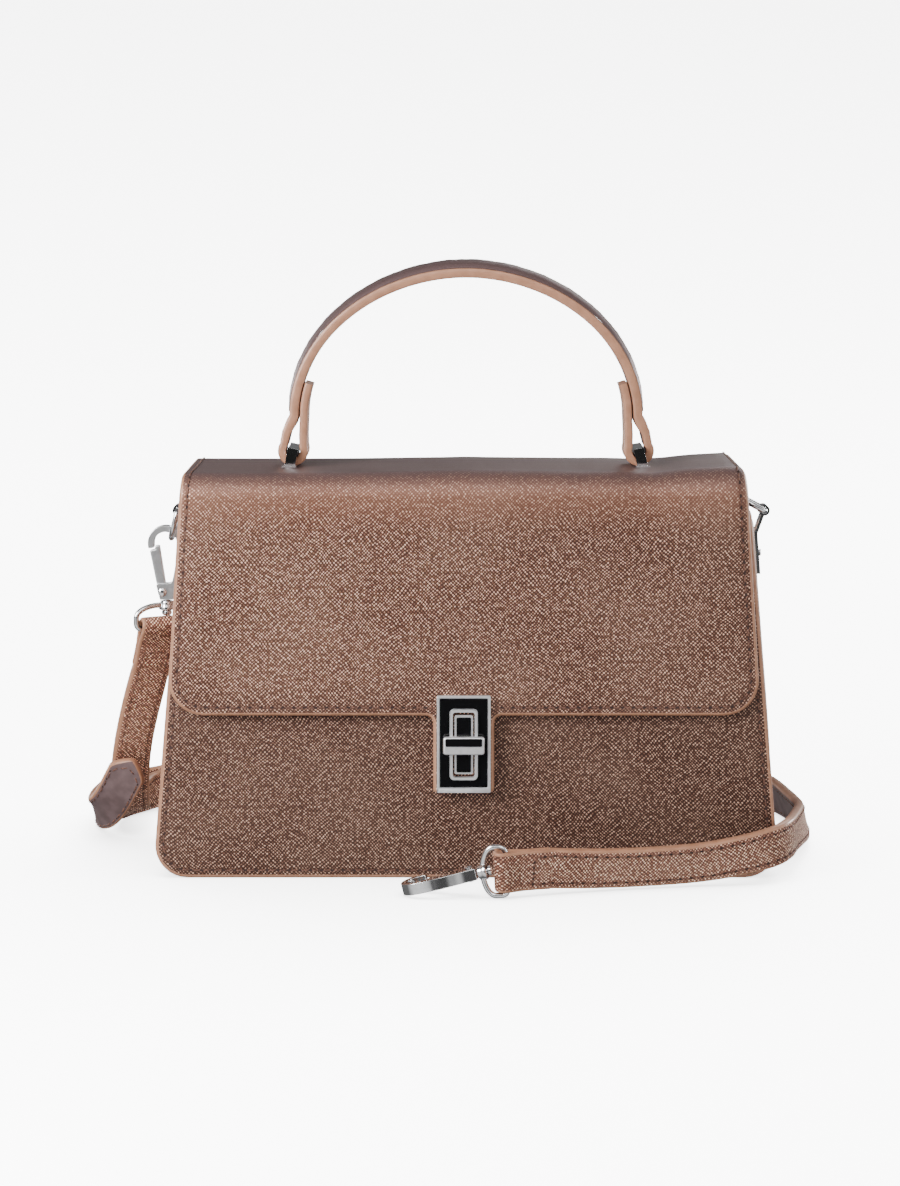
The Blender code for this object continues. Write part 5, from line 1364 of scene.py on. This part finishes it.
def sewStrap(skin, ribbon, start, end, face, cross):
    reach = ribbon.width / 2 - strap["stitchInset"]

    def place(u, v, height):
        return ribbon.at(u, v, height, face)

    for v in (-reach, reach):
        sew(skin, [(u, v) for u in np.linspace(start, end, 120)], place)
    for u in cross:
        sew(skin, [(u, v) for v in np.linspace(-reach, reach, 8)], place, strap["crossPitch"])


strapSet = [bronzeStrapLit, paint, facing, thread, hole]


def makeShortStrap():
    stations = strapStations(shortRoute, leftEye, Vector(strap["buckleEye"]), -1, 1)
    ribbon = Ribbon(stations, strap["width"])
    skin = ribbon.skin()
    fold, other = foldAt(ribbon, leftEye, False), foldAt(ribbon, strap["buckleEye"], True)
    crossings = (fold + strap["crossStitch"], other - strap["crossStitch"])
    for face in (1, -1):
        sewStrap(skin, ribbon, *crossings, face, crossings)
    return skin.piece("shortStrap", "bag", [bronzeShortLit] + strapSet[1:], "strap_short"), ribbon


def makeLongStrap():
    stations = strapStations(longRoute, endEye=frontEye, endWay=-1, endReach=strap["foldReach"])
    ribbon = Ribbon(stations, strap["width"])
    skin = ribbon.skin(slots=(2, 1, 0))
    crossing = foldAt(ribbon, frontEye, True) - strap["crossStitch"]
    for face in (1, -1):
        sewStrap(skin, ribbon, 0.002, crossing, face, (crossing,))
    return skin.piece("longStrap", "bag", strapSet, "strap_long"), ribbon


def makeTail():
    stations = follow(tailRoute)
    tip, across, thick = stations[-1]
    ahead = Vector(tip - stations[-2][0]).normalized()
    tip = Vector(tip)
    for share, wide in zip(strap["pointAt"], strap["pointWidth"]):
        stations.append((tip + ahead * strap["point"] * share, across, thick * (1 - 0.25 * share**4), wide))
    ribbon = Ribbon(stations, strap["width"])
    skin = ribbon.skin(slots=(2, 1, 0))
    end = ribbon.along[-1]
    reach = strap["width"] / 2 - 0.0020
    line = [(0.002, reach), (end - strap["point"] - 0.0006, reach), (end - 0.0044, 0.0026), (end - 0.0034, 0)]
    line += [(u, -v) for u, v in line[-2::-1]]
    for face in (1, -1):
        sew(skin, line, lambda u, v, height: ribbon.at(u, v, height, face))
    return skin.piece("strapTail", "bag", strapSet, "strap_tail"), ribbon


def makeBuckle():
    x, y, z = strap["buckleEye"]
    half, long = strap["buckleHalf"], strap["buckleLength"]
    corners = [(0, -half, 0.0018), (long, -half, 0.0035), (long, half, 0.0035), (0, half, 0.0018)]
    loop = [(x + a, y, z + b) for a, b in rounded(corners)]
    frameWire = wire("buckleFrame", loop, strap["buckleWire"], "bag", "buckle_frame")
    prong = refine("buckle_prong", 0.0002, chrome, "bag", "polished_chrome")
    wall = strap["keeperWall"] / 2
    around = strap["keeperClear"] + wall
    near = shortRoute[-2][1] - strap["thick"] / 2 - around
    far = tailRoute[0][1] + strap["thick"] / 2 + around
    tall = strap["width"] / 2 + around
    shape = rectangle(far - near, 2 * tall, 0.0015, ((near + far) / 2, 0), 6)
    middle = ((near + far) / 2, -tall)
    shape = [middle] + shape[7:] + shape[:7] + [middle]
    stations = [((strap["tailJoint"], a, z - 0.0002 + b), (1, 0, 0), strap["keeperWall"]) for a, b in shape]
    ribbon = Ribbon(stations, strap["keeperWidth"], 0.0006)
    keeper = ribbon.skin(columns=4, crown=0.0).piece("strapKeeper", "bag", strapSet, "strap_keeper")
    return [frameWire, prong, keeper]


shortPiece, shortRibbon = makeShortStrap()
longPiece, longRibbon = makeLongStrap()
tailPiece, tailRibbon = makeTail()
buckleParts = makeBuckle()
leatherLength = sum(float(ribbon.along[-1]) for ribbon in (shortRibbon, longRibbon, tailRibbon))
print("shoulder strap made,", round(leatherLength, 3), "m")

# Lock
lock = {
    "lock_plate": (0.00045, satin, "flap", "polished_chrome", 4, (0.0017, 0.0007)),
    "lock_enamel": (0.00008, enamel, "flap", "black_enamel", 4),
    "lock_slot_rim": (0.00055, satin, "flap", "polished_chrome", 4),
    "lock_boss": (0.00035, satin, "flap", "polished_chrome", 4),
    "lock_boss_inlay": (0.00010, enamel, "flap", "black_enamel", 4),
    "turn_bar": (0.00040, satin, "turn_bar", "polished_chrome", 4, (0.0026, 0.0010)),
    "turn_bar_inlay": (0.00010, enamel, "turn_bar", "black_enamel"),
}
for node, finish in lock.items():
    refine(node, *finish)
carry("lock_spindle", chrome)
carry("lock_back_plate", steel)
print("lock made")

# Handle
handle = {
    "span": 0.141,
    "width": 0.018,
    "thick": 0.0039,
    "layer": 0.0033,
    "springZ": 0.185,
    "innerHalf": 0.0680,
    "innerRise": 0.0559,
    "curve": 1.95,
    "returnTop": 0.199,
    "padWidth": 0.0168,
    "padRise": 0.0034,
    "barZ": 0.1707,
    "bar": (0.0042, 0.0026),
    "loopClear": 0.0004,
    "wrinkle": 0.00012,
    "ringEdge": 0.0008,
}


def archPoint(angle, out):
    cosine, sine = math.cos(angle), math.sin(angle)
    power = 2 / handle["curve"]
    across = math.copysign(abs(cosine) ** power, cosine)
    up = math.copysign(abs(sine) ** power, sine)
    x, z = handle["innerHalf"] * across, handle["springZ"] + handle["innerRise"] * up
    return (x + out * cosine, z + out * sine)


def handleEnd():
    barX, barZ, layer = handle["span"] / 2, handle["barZ"], handle["layer"]
    turn = math.hypot(handle["bar"][0] / 2, handle["bar"][1] / 2) + handle["loopClear"] + layer / 2
    back = gap + layer / 2 + 0.0001
    rise = (handle["returnTop"] - handle["springZ"]) / handle["innerRise"]
    stations = [(*archPoint(angle, -back), layer) for angle in np.linspace(math.asin(rise), 0, 9)]
    split = handle["springZ"] - barZ
    stations.append((barX - turn * 0.92, barZ + split * 0.45, layer))
    stations += [(x, z, layer) for x, z in arc(turn, math.radians(160), math.radians(395), 21, (barX, barZ))]
    shoulder = handle["innerHalf"] + handle["thick"] / 2
    stations.append((shoulder + 0.0032, barZ + split * 0.52, layer * 1.1))
    stations.append((shoulder + 0.0012, barZ + split * 0.80, layer * 1.35))
    return stations


def makeHandle():
    end, thick = handleEnd(), handle["thick"]
    line = [(-x, z, layer) for x, z, layer in end]
    line += [(*archPoint(angle, thick / 2), thick) for angle in np.linspace(math.pi, 0, 81)]
    line += reversed(end)
    ribbon = Ribbon([((x, 0.0, z), (0, 1, 0), layer) for x, z, layer in line], handle["width"], 0.0009)
    ribbon.skin(crown=0.0).piece("handleStrap", "flap", strapSet, "handle_strap")


# Padded cover over the arch, thin at both ends
def makeCover():
    skin = Skin()
    rows = []
    limit = math.radians(2.0)
    half = handle["padWidth"] / 2
    base = handle["thick"] + 0.00005
    for angle in np.linspace(limit, math.pi - limit, 97):
        rise = handle["padRise"] * (0.08 + 0.92 * math.sin(angle) ** 0.8)
        wrinkle = handle["wrinkle"] * math.sin(angle * 57) * math.sin(angle * 23 + 1)
        along = angle * 0.066  # the arch's mean radius
        row = []
        for share in np.linspace(-1, 1, 21):
            puff = (1 - share * share) ** 0.6 * (1 + wrinkle / rise)
            x, z = archPoint(angle, base + rise * puff)
            row.append(skin.point((x, share * half, z), (along, share * half * 1.2)))
        x, z = archPoint(angle, base)
        row += [skin.point((x, share * half, z), (along, share * half)) for share in (0.9, 0, -0.9)]
        rows.append(row)
    skin.rows(rows, True, ends=0)
    skin.piece("handleCover", "flap", [bronzePadShaded], "handle_cover")


makeHandle()
makeCover()
for word in ("left", "right"):
    refine("handle_ring_" + word, handle["ringEdge"], chrome, "flap", "polished_chrome", 4)
    carry("handle_plate_" + word, steel)
for number in range(1, 5):
    carry("handle_nut_" + str(number), steel)
print("handle made")


# Side lugs, rivets and D-rings
def makeSide(word, way, aim):
    refine("side_lug_" + word, 0.0003, chrome, "bag", "polished_chrome")
    for end in ("front", "back"):
        refine("side_rivet_" + word + "_" + end, 0.00028, chrome, "bag", "polished_chrome")
    hub = knuckle(way)
    half, straight = sideRing["halfWidth"], sideRing["reach"] - sideRing["halfWidth"]
    loop = rounded([(-half, straight, 0), (-half, 0, 0.0016), (half, 0, 0.0016), (half, straight, 0)], 6)
    loop += arc(half, 0, math.pi, 29, (0, straight))[1:-1]
    points = [hub + Vector((aim[0] * b, a, aim[1] * b)) for a, b in loop]
    wire("dRing" + word.capitalize(), points, sideRing["wire"], "d_ring_" + word, "d_ring_" + word, 6)


leftTilt, rightTilt = math.radians(sideRing["leftTilt"]), math.radians(sideRing["rightTilt"])
makeSide("left", -1, (-math.sin(leftTilt), -math.cos(leftTilt)))
makeSide("right", 1, (math.cos(rightTilt), math.sin(rightTilt)))
print("side rings made")

# Floor and lights
studio = {
    "flat": 2.4,
    "turn": 2.2,
    "height": 4.5,
    "floor": 0.90,
    "glow": 2.6,
    "floorSun": 21.0,
    "front": 0.98,
    "back": 0.16,
    "black": 0.08,
    "sunSpread": 85,
    "sunTilt": (-12, 8),
    "backFade": (-0.80, -0.05),
    "blackFade": (-0.978, -0.950),
    "aim": (0.0, 0.0, 0.08),
}
# place, size and power
softBoxes = {
    "keyBox": ((-0.52, -0.48, 0.42), (0.34, 0.42), 9),
    "topBox": ((0.0, -1.5, 1.6), (1.0, 0.6), 5),
    "frontBox": ((0.0, -2.3, 1.1), (1.2, 0.7), 4),
    "rightBox": ((1.9, -0.2, 0.8), (0.5, 1.4), 12),
    "backBox": ((0.9, 2.2, 1.5), (1.4, 0.9), 14),
    "backLeft": ((-1.35, 1.15, 0.34), (0.5, 0.5), 17),
    "backRight": ((1.35, 1.15, 0.34), (0.5, 0.5), 22),
}
darkCards = {
    "leftCard": ((-0.55, -1.7, 0.10), (0.45, 0.7)),
    "rightCard": ((0.8, -1.5, 0.45), (0.35, 1.0)),
    "lowCard": ((0.0, -1.9, 0.02), (0.9, 0.20)),
}


def aimed(place, axis):
    return (Vector(studio["aim"]) - Vector(place)).to_track_quat(axis, "Y").to_euler()


# A pale bowl. It shows in the picture but adds no light of its own to the bag
def makeFloor():
    pale = shade((1.0, 1.0, 1.0), studio["floor"])
    made, start, _ = newMaterial("paleFloor", pale, 0.9)
    diffuse = start.node("BsdfDiffuse", None, {"Color": pale})
    glow = start.node("Emission", None, {"Color": (1.0, 1.0, 1.0, 1.0), "Strength": studio["glow"]})
    both = start.node("AddShader", None, {0: diffuse, 1: glow})
    start.put(start.tree.nodes["Material Output"].inputs["Surface"], both)
    profile = [(0.05, 0.0), (0.5, 0.0), (1.2, 0.0), (studio["flat"], 0.0)]
    profile += arc(studio["turn"], -math.pi / 2, 0, 19, (studio["flat"], studio["turn"]))[1:]
    profile.append((profile[-1][0], studio["height"]))
    skin = Skin()
    rows = skin.rings(profile, 72, lambda a, b, height: (a, b, height))
    skin.rows(rows)
    skin.face(reversed(rows[0]))
    floor = bareObject("floor", skin.points, skin.faces, made)
    floor.data.shade_smooth()
    floor.visible_diffuse = floor.visible_glossy = floor.visible_shadow = False
    return floor


def makeWorld():
    world = bpy.data.worlds.new("paleRoom")
    world.use_nodes = True
    background = world.node_tree.nodes["Background"]
    start = Link(world.node_tree)
    way = start.node("SeparateXYZ", None, {0: start.node("TexCoord", None, None, 0)}, 1)
    behind, ahead = way.between(*studio["backFade"]), 1 - way.between(*studio["blackFade"])
    front, back, black = (shade((1.0, 1.0, 1.0), studio[key]) for key in ("front", "back", "black"))
    start.put(background.inputs["Color"], start.tint(ahead, start.tint(behind, front, back), black))
    bpy.context.scene.world = world


def softBox(name, place, size, power):
    data = bpy.data.lights.new(name, "AREA")
    data.shape = "RECTANGLE"
    data.size, data.size_y = size
    data.energy = power
    made = added(name, data)
    made.location, made.rotation_euler = place, aimed(place, "-Z")


# Wide overhead light for the floor alone, so that the bag's soft shadow shows on the pale floor
def makeFloorLight(floor):
    data = bpy.data.lights.new("floorSun", "SUN")
    data.energy, data.angle = studio["floorSun"], math.radians(studio["sunSpread"])
    made = added("floorSun", data)
    made.rotation_euler = (*map(math.radians, studio["sunTilt"]), 0)
    lit = bpy.data.collections.new("floorOnly")
    lit.objects.link(floor)
    made.light_linking.receiver_collection = lit


# Dark card that shows in the metal only
def darkCard(name, place, size):
    material = newMaterial(name + "Black", (0.004, 0.004, 0.004, 1.0), 0.9)[0]
    a, b = size[0] / 2, size[1] / 2
    card = bareObject(name, [(-a, -b, 0), (a, -b, 0), (a, b, 0), (-a, b, 0)], [(0, 1, 2, 3)], material)
    card.location, card.rotation_euler = place, aimed(place, "Z")
    card.visible_camera = card.visible_diffuse = card.visible_shadow = False


makeFloorLight(makeFloor())
makeWorld()
for name, box in softBoxes.items():
    softBox(name, *box)
for name, card in darkCards.items():
    darkCard(name, *card)
print("floor and lights made")
